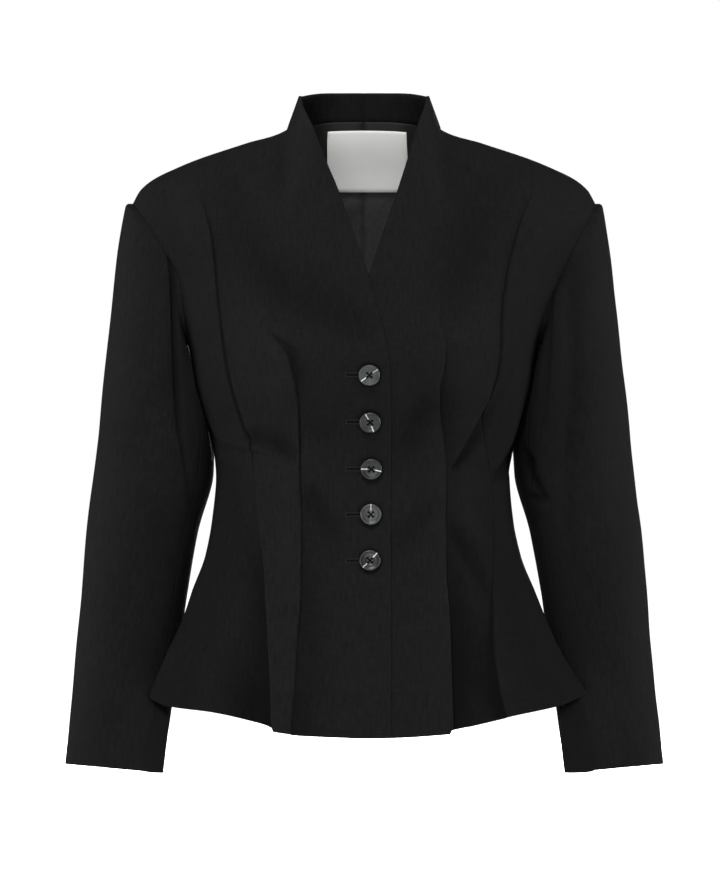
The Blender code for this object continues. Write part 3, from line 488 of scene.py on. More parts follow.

# Folds given one by one, each a line from its top down: x, z, rise on the inner and the outer side, the widths of
# those sides, and half the width of the step between them
FRONT_FOLDS = {
    RIGHT: (
        # first tuck's hooked top, where the outer cloth rolls over the inner
        ((-92, -211, 0, 0, 7, 9, 3), (-84, -214, -1.0, 0.8, 7, 9, 2.5), (-75, -223, -1.2, 1.0, 7, 10, 1.5),
         (-67, -250, -1.0, 0.8, 6, 10, 1), (-63.5, -276, 0, 0, 6, 10, 1)),
        # faint pressed line above the first tuck
        ((-61, -168, 0, 0, 2, 2, 0.5), (-62, -190, -0.5, 0.4, 2, 2, 0.5), (-63, -222, 0, 0, 2, 2, 0.5)),
        # drag fold from the side across the waist, the cloth above it swelling over
        ((-170, -262, 0, 0, 10, 6, 1.2), (-158, -287, 0.8, -1.4, 12, 6, 1.2), (-143, -311, 1.0, -1.4, 14, 7, 2.4),
         (-126, -317, 1.6, -0.8, 16, 9, 3), (-110, -320, 1.8, -0.8, 8, 10, 3), (-86, -326, 1.6, -0.8, 7, 10, 3),
         (-68, -332, 1.0, -0.6, 6, 9, 3), (-58, -335, 0, 0, 6, 9, 3)),
        # shade where the cloth above that fold turns under
        ((-118, -306, 0, 0, 9, 5, 3), (-104, -311, -4.2, -4.2, 14, 6, 3), (-84, -318, -5.4, -5.4, 16, 6, 3),
         (-68, -327, -4.2, -4.2, 11, 5, 3), (-60, -331, 0, 0, 8, 5, 3)),
        # broad trough that sweeps from the shoulder over the chest to the closing
        ((-144, -16, 0, 0, 18, 22, 5), (-121, -85, -2.8, -2.8, 19, 24, 5), (-100, -142, -3.2, -3.2, 24, 26, 5),
         (-56, -170, -3.0, -3.0, 30, 24, 5), (-12, -196, -2.8, -2.8, 24, 16, 5), (18, -215, 0, 0, 16, 12, 5)),
        # dip where the collar grows out of the shoulder
        ((-80, 0, 0, 0, 7, 8, 3), (-80, -22, -2.2, -2.2, 7, 8, 3), (-82, -48, -1.6, -1.6, 8, 9, 3),
         (-84, -80, 0, 0, 8, 9, 3)),
        # slant folds of the closing's pull, above and below the waist
        ((-62, -288, 0, 0, 12, 12, 5), (-40, -302, -2.0, -2.0, 12, 14, 5), (-18, -312, 0, 0, 12, 14, 5)),
        ((-58, -352, 0, 0, 10, 12, 5), (-48, -366, -3.0, -3.0, 11, 13, 5), (-32, -394, -2.6, -2.6, 11, 13, 5),
         (-16, -424, 0, 0, 11, 13, 5)),
        # slack below the drag fold, out to the side
        ((-146, -322, 0, 0, 8, 8, 3), (-132, -348, -2.0, -2.0, 9, 9, 3), (-124, -392, 0, 0, 9, 9, 3)),
        # swell of the peplum towards the side
        ((-128, -392, 0, 0, 18, 22, 5), (-134, -450, 1.8, 1.8, 18, 24, 5), (-142, -520, 2.0, 2.0, 20, 26, 5),
         (-146, -566, 2.0, 2.0, 20, 26, 5)),
    ),
    LEFT: (
        # groove from the shoulder that leaves the second tuck and sweeps in to the waist
        ((133, -232, 0, 0, 4, 4, 1), (125, -269, -3.0, -3.4, 2.6, 7, 1), (113, -291, -5.0, -5.4, 2.2, 9, 1),
         (101, -313, -4.6, -5.0, 2.0, 8, 1), (90, -333, -3.0, -3.4, 2, 6, 1), (83, -342, 0, 0, 2, 4, 1)),
        # lit roll on the upper side of that groove and the one behind it
        ((130, -238, 0, 0, 8, 8, 3), (113, -278, 2.4, 2.4, 9, 6, 3), (95, -314, 2.2, 2.2, 8, 5, 3),
         (83, -336, 0, 0, 6, 5, 3)),
        ((176, -90, 0, 0, 10, 10, 3), (156, -150, 2.0, 2.0, 11, 11, 3), (149, -210, 2.8, 2.8, 10, 11, 3),
         (143, -262, 3.0, 3.0, 9, 10, 3), (130, -305, 2.0, 2.0, 8, 9, 3), (118, -330, 0, 0, 8, 8, 3)),
        # short fold at the side above the waist, with its roll
        ((166, -262, 0, 0, 3, 5, 1), (158, -293, -3.0, -3.0, 3, 7, 1), (148, -319, -5.4, -5.4, 2.2, 9, 1),
         (138, -335, -5.0, -5.0, 2.0, 8, 1), (122, -352, 0, 0, 2, 4, 1)),
        ((158, -268, 0, 0, 7, 7, 3), (144, -307, 2.2, 2.2, 7, 6, 3), (130, -330, 1.8, 1.8, 6, 5, 3),
         (118, -346, 0, 0, 6, 5, 3)),
        # broad trough from the shoulder down the chest
        ((132, -20, 0, 0, 22, 18, 5), (115, -70, -2.2, -2.2, 28, 22, 5), (101, -122, -2.6, -2.6, 30, 24, 5),
         (89, -166, -2.2, -2.2, 26, 22, 5), (77, -206, 0, 0, 20, 16, 5)),
        # dip where the collar grows out of the shoulder
        ((80, 0, 0, 0, 7, 8, 3), (80, -22, -2.2, -2.2, 7, 8, 3), (82, -48, -1.6, -1.6, 8, 9, 3),
         (84, -80, 0, 0, 8, 9, 3)),
        # shade below the bust and slant folds of the closing's pull below the waist
        ((74, -250, 0, 0, 16, 18, 5), (58, -284, -4.4, -4.4, 14, 20, 5), (40, -316, -2.6, -2.6, 14, 20, 5),
         (28, -344, 0, 0, 14, 20, 5)),
        ((74, -358, 0, 0, 10, 11, 5), (56, -382, -2.8, -2.8, 11, 13, 5), (30, -410, -1.8, -1.8, 11, 13, 5),
         (14, -426, 0, 0, 11, 13, 5)),
        ((80, -386, 0, 0, 7, 8, 3), (94, -410, -4.4, -4.4, 8, 9, 3), (112, -444, -3.2, -3.2, 8, 9, 3),
         (124, -474, 0, 0, 8, 9, 3)),
        ((84, -366, 0, 0, 7, 8, 3), (102, -390, 2.0, 2.0, 8, 7, 3), (120, -424, 1.6, 1.6, 8, 7, 3),
         (128, -452, 0, 0, 7, 7, 3)),
        # swell of the peplum towards the side
        ((144, -400, 0, 0, 14, 20, 5), (154, -460, 2.4, 2.4, 14, 24, 5), (166, -530, 2.6, 2.6, 16, 26, 5),
         (172, -566, 1.8, 1.8, 16, 26, 5)),
    ),
}

# Folds of the back, mirrored to each side with its own strength
BACK_FOLDS = (
    ((160, -120, 0, 0, 9, 10, 2), (142, -190, -1.4, 0.8, 9, 10, 2), (118, -262, -1.6, 0.8, 8, 10, 2),
     (92, -322, 0, 0, 8, 9, 2)),
    ((168, -236, 0, 0, 6, 8, 1.5), (140, -296, -2.2, -1.6, 5, 7, 1.5), (112, -338, 0, 0, 4, 6, 1.5)),
    ((104, -314, 0, 0, 8, 6, 3), (76, -330, 1.8, -0.8, 12, 7, 3), (48, -340, 0, 0, 10, 6, 3)),
    ((86, -60, 0, 0, 30, 30, 5), (110, -130, -1.6, -1.6, 30, 30, 5), (96, -200, 0, 0, 28, 28, 5)),
    ((30, -360, 0, 0, 12, 12, 5), (24, -410, -1.4, -1.4, 12, 14, 5), (34, -480, 0, 0, 12, 14, 5)),
)

# Folds on the front of each sleeve, and the ones behind the elbows
SLEEVE_FOLDS = {
    RIGHT: (
        ((-198, -108, 0, 0, 5, 7, 1.5), (-193, -135, -3.4, 0, 5, 6, 1.5), (-190, -170, -5.4, -0.6, 5, 6, 1.5),
         (-188.5, -220, -5.6, -1.0, 5, 6, 1.5), (-186.5, -283, -4.8, -0.8, 5, 7, 1.5),
         (-180, -330, -2.8, -0.4, 5, 7, 1.5), (-171, -392, 0, 0, 6, 6, 1.5)),
        ((-214, -330, 0, 0, 12, 12, 5), (-206, -400, -1.2, -1.2, 14, 14, 5), (-220, -500, 0, 0, 14, 14, 5)),
        # pressed in below the end of the body's hem, where its painted shade stands for the hem's shadow on the sleeve
        ((-219, -561, 0, 0, 6, 2, 1), (-209, -570, -8.0, -8.0, 8, 4, 1), (-199, -577, -10.0, -10.0, 8, 6, 1),
         (-186, -586, -9.0, -9.0, 8, 7, 1), (-172, -596, 0, 0, 8, 8, 1)),
    ),
    LEFT: (
        ((196, -104, 0, 0, 7, 7, 2), (188, -140, -3.2, -1.4, 6, 7, 2), (185, -200, -3.6, -1.8, 6, 7, 2),
         (182, -262, -2.8, -1.2, 6, 7, 2), (176, -306, 0, 0, 6, 7, 2)),
        ((206, -122, 0, 0, 9, 9, 3), (206, -180, -2.6, -2.6, 8, 8, 3), (208, -280, -2.4, -2.4, 8, 9, 3),
         (204, -380, -2.0, -2.0, 9, 10, 3), (208, -460, 0, 0, 9, 10, 3)),
        ((154, -312, 0, 0, 4, 4, 1.5), (160, -330, -3.6, -3.6, 3, 6, 1.5), (168, -352, -4.2, -4.2, 3, 6, 1.5),
         (184, -371, 0, 0, 3, 4, 1.5)),
        ((158, -318, 0, 0, 3, 3, 1.5), (164, -330, -2.4, -2.4, 3, 4, 1.5), (171, -340, 0, 0, 3, 4, 1.5)),
        ((160, -362, 0, 0, 5, 4, 1.5), (172, -368, -3.2, -3.2, 5, 5, 1.5), (188, -373, 0, 0, 4, 4, 1.5)),
        ((207, -282, 0, 0, 4, 4, 1.5), (205, -310, -1.2, -0.2, 4, 5, 1.5), (199, -350, 0, 0, 4, 5, 1.5)),
        # pressed in below the end of the body's hem, where its painted shade stands for the hem's shadow on the sleeve
        ((226, -556, 0, 0, 6, 2, 1), (214, -565, -8.0, -8.0, 8, 4, 1), (203, -573, -10.0, -10.0, 8, 6, 1),
         (190, -582, -9.0, -9.0, 8, 7, 1), (174, -592, 0, 0, 8, 8, 1)),
    ),
}
SLEEVE_BACK_FOLDS = (
    ((250, -300, 0, 0, 8, 8, 3), (226, -334, -1.8, -1.8, 7, 8, 3), (192, -352, 0, 0, 7, 8, 3)),
    ((256, -346, 0, 0, 8, 8, 3), (230, -366, -2.2, -2.2, 7, 8, 3), (190, -372, 0, 0, 7, 8, 3)),
    ((258, -402, 0, 0, 9, 9, 3), (236, -408, -1.6, -1.6, 8, 9, 3), (204, -404, 0, 0, 8, 9, 3)),
)


def unit(vectors):
    """The same directions at length one."""
    return vectors / np.linalg.norm(vectors, axis=-1, keepdims=True)


def half_width(side, z):
    """Distance from the middle of the body to its side at a height."""
    return BODY.at(SIDE_NAMES[side] + "_width", z)


def turn_of(side, x, z, roundness):
    """Angle round the section at a front-view place, zero in the middle and a right angle at the side."""
    share = np.clip(side * np.asarray(x) / half_width(side, z), -1, 1)
    return np.sign(share) * np.arcsin(np.abs(share) ** (roundness / 2))


def section_x(side, turn, z, roundness):
    """Front-view place of an angle round the section at a height."""
    sine = np.sin(turn)
    return side * half_width(side, z) * np.sign(sine) * np.abs(sine) ** (2 / roundness)


def roll_over_ridge(x, z):
    """Share of the full depth reached at a height below the shoulder ridge, a quarter round."""
    drop = (RIDGE.at("z", np.abs(x)) - z) / RIDGE.at("roll", np.abs(x))
    drop = np.clip(drop, 0, 1)
    return np.sqrt(1 - (1 - drop) ** 2)


def body_surface(side, turn, z, roundness, depth_column):
    """Points of the body form on the half whose depth the named column gives."""
    x = section_x(side, turn, z, roundness)
    deep = np.clip(np.cos(turn), 0, 1) ** (2 / roundness)
    side_y = BODY.at("side_y", z)
    y = side_y + (BODY.at(depth_column, z) - side_y) * deep
    return np.stack([x, y * roll_over_ridge(x, z), z], axis=-1)


def front_surface(side, turn, z):
    """Points of the body form on its front half."""
    return body_surface(side, turn, z, FRONT_ROUND, "front_y")


def back_surface(side, turn, z):
    """Points of the body form on its back half."""
    return body_surface(side, turn, z, BODY.at("back_round", z), "back_y")


def high_shares():
    """Shares of the height above the underarm for the rows there, closer together towards the shoulder."""
    return 1 - (1 - np.linspace(0, 1, HIGH_ROWS + 1)[1:]) ** HIGH_POWER


def row_heights(hem_z, top_z):
    """Heights of a column's rows from the hem to the underarm and on to the top."""
    low = np.linspace(hem_z, UNDERARM_Z, LOW_ROWS + 1)
    return np.concatenate([low, UNDERARM_Z + high_shares() * (top_z - UNDERARM_Z)])


def rise_above_underarm():
    """Share of the height above the underarm for each row, zero below it."""
    return np.concatenate([np.zeros(LOW_ROWS + 1), high_shares()])


def crowded(count):
    """Shares from just past nought to one, closer together at both ends."""
    even = np.linspace(0, 1, count + 1)[1:]
    return even - COLUMN_CROWDING * np.sin(2 * math.pi * even) / (2 * math.pi)


def fill_between(guides, counts, tops, hem_at):
    """Columns between guide lines, (turns, heights) each, drawn on to the wanted tops and the hem."""
    columns = [guides[0]]
    for left, right, count in zip(guides, guides[1:], counts):
        for share in crowded(count):
            columns.append(tuple(a + (b - a) * share for a, b in zip(left, right)))
    turns = np.stack([column[0] for column in columns], axis=1)
    heights = np.stack([column[1] for column in columns], axis=1)
    pull = (rise_above_underarm() ** TOP_PULL_POWER)[:, None]
    turns = turns + pull * (tops[0] - turns[-1])[None, :]
    heights = heights + pull * (tops[1] - heights[-1])[None, :]
    drop = np.clip((UNDERARM_Z - heights) / (UNDERARM_Z - heights[0]), 0, 1) ** HEM_PULL_POWER
    heights = heights + drop * (hem_at(turns[0], heights[0]) - heights[0])
    return turns, heights


def spread(stations, counts):
    """Distances from the middle where the columns end at the top."""
    ends = [stations[0]]
    for left, right, count in zip(stations, stations[1:], counts):
        ends.extend(left + (right - left) * crowded(count))
    return np.array(ends)


def shoulder_ends(tuck_tops):
    """Distances from the middle of the guide lines' ends on the shoulder, out to the armhole."""
    steps = [top + offset for top in tuck_tops for offset in (-TUCK_GUIDE, TUCK_GUIDE)]
    return [*steps, SHOULDER_HALF_WIDTH]


def tuck_rise(tucks, side, x, z, strength=1.0):
    """How far the cloth stands out at a place, from the tucks beside it."""
    rise = np.zeros_like(x)
    for tuck in tucks:
        line = np.abs(tuck.at("x", z))
        away = side * x - line
        inner = tuck.at("inner_rise", z) * np.exp(-(away / tuck.at("inner_width", z)) ** 2)
        outer = tuck.at("outer_rise", z) * np.exp(-(away / tuck.at("outer_width", z)) ** 2)
        crevice = tuck.at("crevice", z) * np.exp(-(away / CREVICE_WIDTH) ** 2)
        rise = rise + strength * (inner + (outer - inner) * step_share(away, TUCK_SPLIT) - crevice)
    return rise


def step_share(away, split):
    """Share of the outer side reached across a soft step, by distance from its line."""
    share = np.clip(0.5 + away / (2 * split), 0, 1)
    return share ** 2 * (3 - 2 * share)


def fold_rise(fold, side, x, z):
    """How far a listed fold lifts the cloth at front-view places, by distance from its line."""
    rows = np.array(fold, dtype=float)
    length = np.concatenate([[0], np.cumsum(np.hypot(*np.diff(rows[:, :2], axis=0).T))])
    along = np.linspace(0, length[-1], FOLD_SAMPLES)
    line = np.stack([smooth(along, length, rows[:, column]) for column in range(rows.shape[1])], axis=1)
    starts, runs = line[:-1, :2], np.diff(line[:, :2], axis=0)
    place = np.stack([x.ravel(), z.ravel()], axis=1)
    offset = place[:, None, :] - starts[None, :, :]
    share = np.clip(np.sum(offset * runs, axis=2) / np.sum(runs ** 2, axis=1), 0, 1)
    gap = offset - share[:, :, None] * runs
    distance = np.sum(gap ** 2, axis=2)
    nearest = np.argmin(distance, axis=1)
    pick = np.arange(len(place))
    values = line[nearest] + share[pick, nearest, None] * (line[nearest + 1] - line[nearest])
    run, away = runs[nearest], gap[pick, nearest]
    outer_side = side * (run[:, 0] * away[:, 1] - run[:, 1] * away[:, 0])
    signed = np.sign(outer_side) * np.sqrt(distance[pick, nearest])
    inner_rise, outer_rise, inner_width, outer_width, split = values[:, 2:].T
    inner = inner_rise * np.exp(-(signed / inner_width) ** 2)
    outer = outer_rise * np.exp(-(signed / outer_width) ** 2)
    return (inner + (outer - inner) * step_share(signed, split)).reshape(x.shape)


def folds_rise(folds, side, x, z, strength=1.0):
    """Lift from all the listed folds of a piece."""
    return strength * sum(fold_rise(fold, side, x, z) for fold in folds)


def slack(x, z, seed):
    """Slight unevenness of hanging cloth, from a few slow waves with fixed directions."""
    chance = np.random.default_rng(seed)
    lift = np.zeros_like(x)
    for length, height in SLACK_WAVES:
        angle, phase = chance.uniform(-SLACK_LEAN, SLACK_LEAN), chance.uniform(0, 2 * math.pi)
        wave = (x * math.cos(angle) + z * math.sin(angle)) * 2 * math.pi / length
        lift = lift + height * np.sin(wave + phase + SLACK_SWAY * np.sin(z / (SLACK_SWAY_LENGTH * length)))
    return lift


def form_normals(surface, side, turns, heights):
    """Unit normals of the body form at given places, facing out of the body."""
    small_turn, small_height = 0.001, 0.1
    across = surface(side, turns + small_turn, heights) - surface(side, turns - small_turn, heights)
    up = surface(side, turns, heights + small_height) - surface(side, turns, heights - small_height)
    normals = unit(np.cross(across, up))
    return normals * np.sign(np.sum(normals * surface(side, turns, heights) * np.array([1, 1, 0])))


def ridge_normal(side, x):
    """Unit normals along the shoulder ridge, square to its slope."""
    reach = 0.5
    slope = (RIDGE.at("z", np.abs(x) + reach) - RIDGE.at("z", np.abs(x) - reach)) / (2 * reach)
    return unit(np.stack([-side * slope, np.zeros_like(slope), np.ones_like(slope)], axis=-1))


def tuck_guides(side, tucks, tops, front):
    """Guide lines beside each tuck, from the hem to the shoulder ridge."""
    guides = []
    for tuck, top in zip(tucks, tops):
        for offset in (-TUCK_GUIDE, TUCK_GUIDE):
            line_x = side * (np.abs(tuck.at("x", FRONT_HEM_Z)) + offset)
            hem_z = float(HEM.at("z", line_x)) if front else BACK_HEM_Z
            heights = row_heights(hem_z, float(RIDGE.at("z", top + offset)))
            x = side * (np.abs(tuck.at("x", heights)) + offset)
            roundness = FRONT_ROUND if front else BODY.at("back_round", heights)
            guides.append((turn_of(side, x, heights, roundness), heights))
    return guides


def side_guide(side, armhole, roundness):
    """The side seam up to the underarm and the armhole seam above it."""
    heights = row_heights(side_hem(side), float(RIDGE.at("z", SHOULDER_HALF_WIDTH)))
    turns = turn_of(side, side * armhole.at("x", heights), heights, roundness(heights))
    turns[:LOW_ROWS + 1] = math.pi / 2
    return turns, heights


def side_hem(side):
    """Height of the hem at the side seam."""
    return float(HEM.at("z", side * half_width(side, SIDE_HEM_Z)))


def front_hem(side, turn, z):
    """Height of the front's hem at an angle round the section."""
    return HEM.at("z", section_x(side, turn, z, FRONT_ROUND))


def back_hem(side, turn):
    """Height of the back's hem, level in the middle and drawn to the side seam."""
    return BACK_HEM_Z + (side_hem(side) - BACK_HEM_Z) * np.sin(turn) ** 2


def painted_shade_map(rises, turns, z):
    """Painted shade: darker in the hollows, and on the body where the sleeve hangs beside it."""
    hollow = np.clip(-rises / HOLLOW_DEPTH, 0, 1)
    beside = step_share(np.abs(turns) - SIDE_SHADE_TURN, SIDE_SHADE_SPLIT)
    beside = beside * np.interp(z, SIDE_SHADE_HEIGHTS, SIDE_SHADE_LEVELS)
    return hollow + SIDE_SHADE * beside * (1 - hollow)


def front_panel(side, fold_strength):
    """Undisplaced points, normals, rises, grain and painted shade of one front, columns from its edge to the side seam.
    """
    heights = row_heights(FRONT_HEM_Z, COLLAR_TIP[1])
    guides = [
        (turn_of(side, EDGES[side].at("x", heights), heights, FRONT_ROUND), heights),
        *tuck_guides(side, FRONT_TUCKS[side], FRONT_TUCK_TOPS, front=True),
        side_guide(side, FRONT_ARMHOLES[side], lambda z: FRONT_ROUND),
    ]
    ends = shoulder_ends(FRONT_TUCK_TOPS)
    neck_count = FRONT_COLUMNS[0] // len(COLLAR_STATIONS)
    neck_x = [COLLAR_STATIONS[0]]
    for left, right in zip(COLLAR_STATIONS, (*COLLAR_STATIONS[1:], ends[0])):
        neck_x.extend(np.linspace(left, right, neck_count + 1)[1:])
    top_x = np.concatenate([neck_x, spread(ends, FRONT_COLUMNS[1:])[1:]])
    top_z = np.minimum(RIDGE.at("z", top_x), COLLAR_TIP[1])
    tops = (turn_of(side, side * top_x, top_z, FRONT_ROUND), top_z)
    turns, heights = fill_between(guides, FRONT_COLUMNS, tops, lambda turn, z: front_hem(side, turn, z))
    points = front_surface(side, turns, heights)
    normals = form_normals(front_surface, side, turns, heights)
    on_ridge = top_x >= COLLAR_SIDE_X
    normals[-1, on_ridge] = ridge_normal(side, points[-1, on_ridge, 0])
    x, z = points[..., 0], points[..., 2]
    rises = tuck_rise(FRONT_TUCKS[side], side, x, z)
    rises = rises + folds_rise(FRONT_FOLDS[side], side, x, z, fold_strength)
    rises = rises + slack(x, z, SLACK_SEEDS["front"] + side) * slack_room(x, z)
    rises = rises * (1 - rise_above_underarm() ** TUCK_FADE_POWER)[:, None]
    hollow = painted_shade_map(rises, turns, z)
    if side == RIGHT:
        # Painted shadow: a soft dark ring on the cloth round each button
        rings = [np.exp(-((np.hypot(x - button_x, z - button_z) - BUTTON_RADIUS) / BUTTON_SHADE_WIDTH) ** 2)
                 for button_x, button_z in BUTTON_PLACES]
        hollow = np.maximum(hollow, BUTTON_SHADE * np.max(rings, axis=0))
    else:
        beside = x - EDGES[RIGHT].at("x", z)
        cover = np.clip((UNDERLAP_NONE - beside) / (UNDERLAP_NONE - UNDERLAP_FULL), 0, 1)
        rises = rises - (CAD_WALL + UNDERLAP_GAP) * cover ** 2 * (3 - 2 * cover)
    return points, normals, rises, straight_grain(front_surface, side, turns, heights), hollow


def slack_room(x, z):
    """Where a front's cloth may hang unevenly: away from the closing, or above it."""
    from_closing = np.clip((np.abs(x - CLOSING_X) - CLOSING_STILL) / CLOSING_EASE, 0, 1)
    above = np.clip((z - CHEST_SLACK_Z) / CHEST_SLACK_EASE, 0, 1)
    return np.maximum(from_closing, above)


def neck_seam(share, lift):
    """A place on the back of the stand collar: share 0 at the back, 1 at the shoulder; lift 0 at the seam."""
    x = share * (NECK_HALF_WIDTH + (COLLAR_SIDE_X - NECK_HALF_WIDTH) * lift)
    low = NECK_SEAM_BACK_Z * (1 - share ** 4)
    high = COLLAR_BACK_Z + (RIDGE.at("z", COLLAR_SIDE_X) - COLLAR_BACK_Z) * share ** 5
    return x, low + (high - low) * lift


def back_panel(side, fold_strength):
    """The same as front_panel for one back half, columns from the middle to the side seam."""
    neck_x, neck_z = neck_seam(np.linspace(0, 1, BACK_NECK_COLUMNS + 1), 0.0)
    heights = row_heights(BACK_HEM_Z, neck_z[0])
    guides = [
        (np.zeros_like(heights), heights),
        *tuck_guides(side, BACK_TUCKS, BACK_TUCK_TOPS, front=False),
        side_guide(side, BACK_ARMHOLE, lambda z: BODY.at("back_round", z)),
    ]
    ends = shoulder_ends(BACK_TUCK_TOPS)
    beside_neck = np.linspace(NECK_HALF_WIDTH, ends[0], BACK_COLUMNS[0] - BACK_NECK_COLUMNS + 1)[1:]
    shoulder_x = np.concatenate([beside_neck, spread(ends, BACK_COLUMNS[1:])[1:]])
    top_x = np.concatenate([neck_x, shoulder_x])
    top_z = np.concatenate([neck_z, RIDGE.at("z", shoulder_x)])
    tops = (turn_of(side, side * top_x, top_z, BODY.at("back_round", top_z)), top_z)
    turns, heights = fill_between(guides, BACK_COLUMNS, tops, lambda turn, z: back_hem(side, turn))
    points = back_surface(side, turns, heights)
    normals = form_normals(back_surface, side, turns, heights)
    normals[-1, BACK_NECK_COLUMNS:] = ridge_normal(side, points[-1, BACK_NECK_COLUMNS:, 0])
    normals[:, 0, 0] = 0
    normals = unit(normals)
    x, z = points[..., 0], points[..., 2]
    strength = LEFT_BACK_STRENGTH if side == LEFT else 1.0
    rises = tuck_rise(BACK_TUCKS, side, x, z, strength)
    rises = rises + folds_rise(BACK_FOLDS, side, side * x, z, fold_strength * strength)
    rises = rises + slack(x, z, SLACK_SEEDS["back"] + side) * np.clip(np.abs(x) / BACK_SLACK_EASE, 0, 1)
    rises = rises * (1 - rise_above_underarm() ** TUCK_FADE_POWER)[:, None]
    rises[:, 0] = 0
    hollow = painted_shade_map(rises, turns, z)
    return points, normals, rises, straight_grain(back_surface, side, turns, heights), hollow


def collar_band(side, high_lift):
    """Points and normals of the back of the stand collar, rows from its seam up to a share of its height."""
    lifts = np.linspace(0.0, high_lift, COLLAR_ROWS + 1)
    x, z = neck_seam(np.linspace(0, 1, NECK_COLUMNS + 1)[None, :], lifts[:, None])
    turns = turn_of(side, side * x, z, BODY.at("back_round", z))
    points = back_surface(side, turns, z)
    normals = form_normals(back_surface, side, turns, z)
    normals[:, -1] = ridge_normal(side, points[:, -1, 0])
    normals[:, 0, 0] = 0
    return points, unit(normals)


def straight_grain(surface, side, turns, heights):
    """Place of a panel's points on the flat cloth in metres: round the body and straight down."""
    steps = np.linspace(0, 1, GRAIN_STEPS)[:, None, None]
    arcs = np.linalg.norm(np.diff(surface(side, turns * steps, heights + 0 * steps), axis=0), axis=-1).sum(axis=0)
    return np.stack([side * np.sign(turns) * arcs, heights], axis=-1) * MM


@functools.lru_cache(maxsize=None)
def body_panels(side, fold_strength):
    """Outer points, normals, grain and painted shade of a front and its back half, alike where they meet."""
    front, back = front_panel(side, fold_strength), back_panel(side, fold_strength)
    for rows in (np.s_[:LOW_ROWS + 1], np.s_[-1:]):
        joint = unit(front[1][rows, -1] + back[1][rows, -1])
        front[1][rows, -1] = joint
        back[1][rows, -1] = joint
        rise = (front[2][rows, -1] + back[2][rows, -1]) / 2
        front[2][rows, -1] = rise
        back[2][rows, -1] = rise
    return [(points + normals * rises[..., None], normals, grain, hollow)
            for points, normals, rises, grain, hollow in (front, back)]


EDGE_LINES = {
    "hem": (np.s_[0, :], np.s_[1, :], 0, False),
    "top": (np.s_[-1, :], np.s_[-2, :], 0, True),
    "first": (np.s_[:, 0], np.s_[:, 1], 1, False),
    "last": (np.s_[:, -1], np.s_[:, -2], 1, True),
}


def draw_back(points, normals, amounts):
    """Pull the named edges of a grid back along the cloth, easing out a short way in from the edge."""
    points = points.copy()
    for edge, amount in amounts.items():
        rim, beside, axis, at_end = EDGE_LINES[edge]
        line = points[rim]
        along = np.gradient(line, axis=0)
        inward = unit(np.cross(normals[rim], along))
        inward = inward * np.sign(np.sum(inward * (points[beside] - line), axis=-1, keepdims=True))
        grid = np.flip(points, axis) if at_end else points
        steps = np.linalg.norm(np.diff(grid, axis=axis), axis=-1)
        start = np.zeros_like(np.take(steps, [0], axis=axis))
        distance = np.concatenate([start, np.cumsum(steps, axis=axis)], axis=axis)
        distance = np.flip(distance, axis) if at_end else distance
        weight = np.clip(1 - distance / EDGE_REACH, 0, 1)[..., None]
        points = points + weight * np.expand_dims(inward * amount, axis)
    return points


def weave_map(points):
    """Place of each point on the flat cloth, in metres, by distance along and across the grid."""
    across = np.linalg.norm(np.diff(points, axis=1), axis=-1)
    along = np.linalg.norm(np.diff(points, axis=0), axis=-1)
    u = np.concatenate([np.zeros((len(points), 1)), np.cumsum(across, axis=1)], axis=1)
    v = np.concatenate([np.zeros((1, points.shape[1])), np.cumsum(along, axis=0)], axis=0)
    return np.stack([u, v], axis=-1) * MM


def piece_from(name, vertices, faces, material, uv=None, sharp_angle=None, uv_name="cloth"):
    """A named piece from points in millimetres and faces, smooth shaded, riding on the body."""
    mesh = bpy.data.meshes.new(name)
    mesh.from_pydata(np.asarray(vertices) * MM, [], faces)
    if uv is not None:
        loops = np.empty(len(mesh.loops), dtype=np.int32)
        mesh.loops.foreach_get("vertex_index", loops)
        mesh.uv_layers.new(name=uv_name).data.foreach_set("uv", np.asarray(uv)[loops].ravel())
    mesh.materials.append(material)
    mesh.shade_smooth()
    if sharp_angle:
        mesh.set_sharp_from_angle(angle=math.radians(sharp_angle))
    mesh.validate()
    piece = bpy.data.objects.new(name, mesh)
    bpy.context.collection.objects.link(piece)
    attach(piece, BODY_NAME)
    return piece


def coarse_steps(count):
    """Indices of the rows or columns that the inside of a cloth keeps, both ends among them."""
    return [*range(0, count - 1, INSIDE_STRIDE), count - 1]


def inside_faces(corner):
    """Faces over a coarse choice of a grid's points, with every point of the grid's rim kept."""
    rows, columns = corner.shape
    faces = []
    kept_rows, kept_columns = coarse_steps(rows), coarse_steps(columns)
    for low, high in zip(kept_rows, kept_rows[1:]):
        for left, right in zip(kept_columns, kept_columns[1:]):
            face = list(corner[low, left:right]) if low == 0 else [corner[low, left]]
            face += list(corner[low:high, right]) if right == columns - 1 else [corner[low, right]]
            face += list(corner[high, right:left:-1]) if high == rows - 1 else [corner[high, right]]
            face += list(corner[high:low:-1, left]) if left == 0 else [corner[high, left]]
            faces.append([int(index) for index in face])
    return faces


def lining_creases(points):
    """How far the lining stands in from the back at each point, in the soft creases below the label."""
    across, below = points[..., 0], LABEL_Z[0] - points[..., 2]
    lift = np.zeros_like(across)
    for x, drop, lean, length, width, height in LINING_CREASES:
        turn = math.radians(lean)
        along = (across - x) * math.cos(turn) - (below - drop) * math.sin(turn)
        beside = (across - x) * math.sin(turn) + (below - drop) * math.cos(turn)
        lift += height * np.exp(-(along / length) ** 2 - (beside / width) ** 2)
    return lift


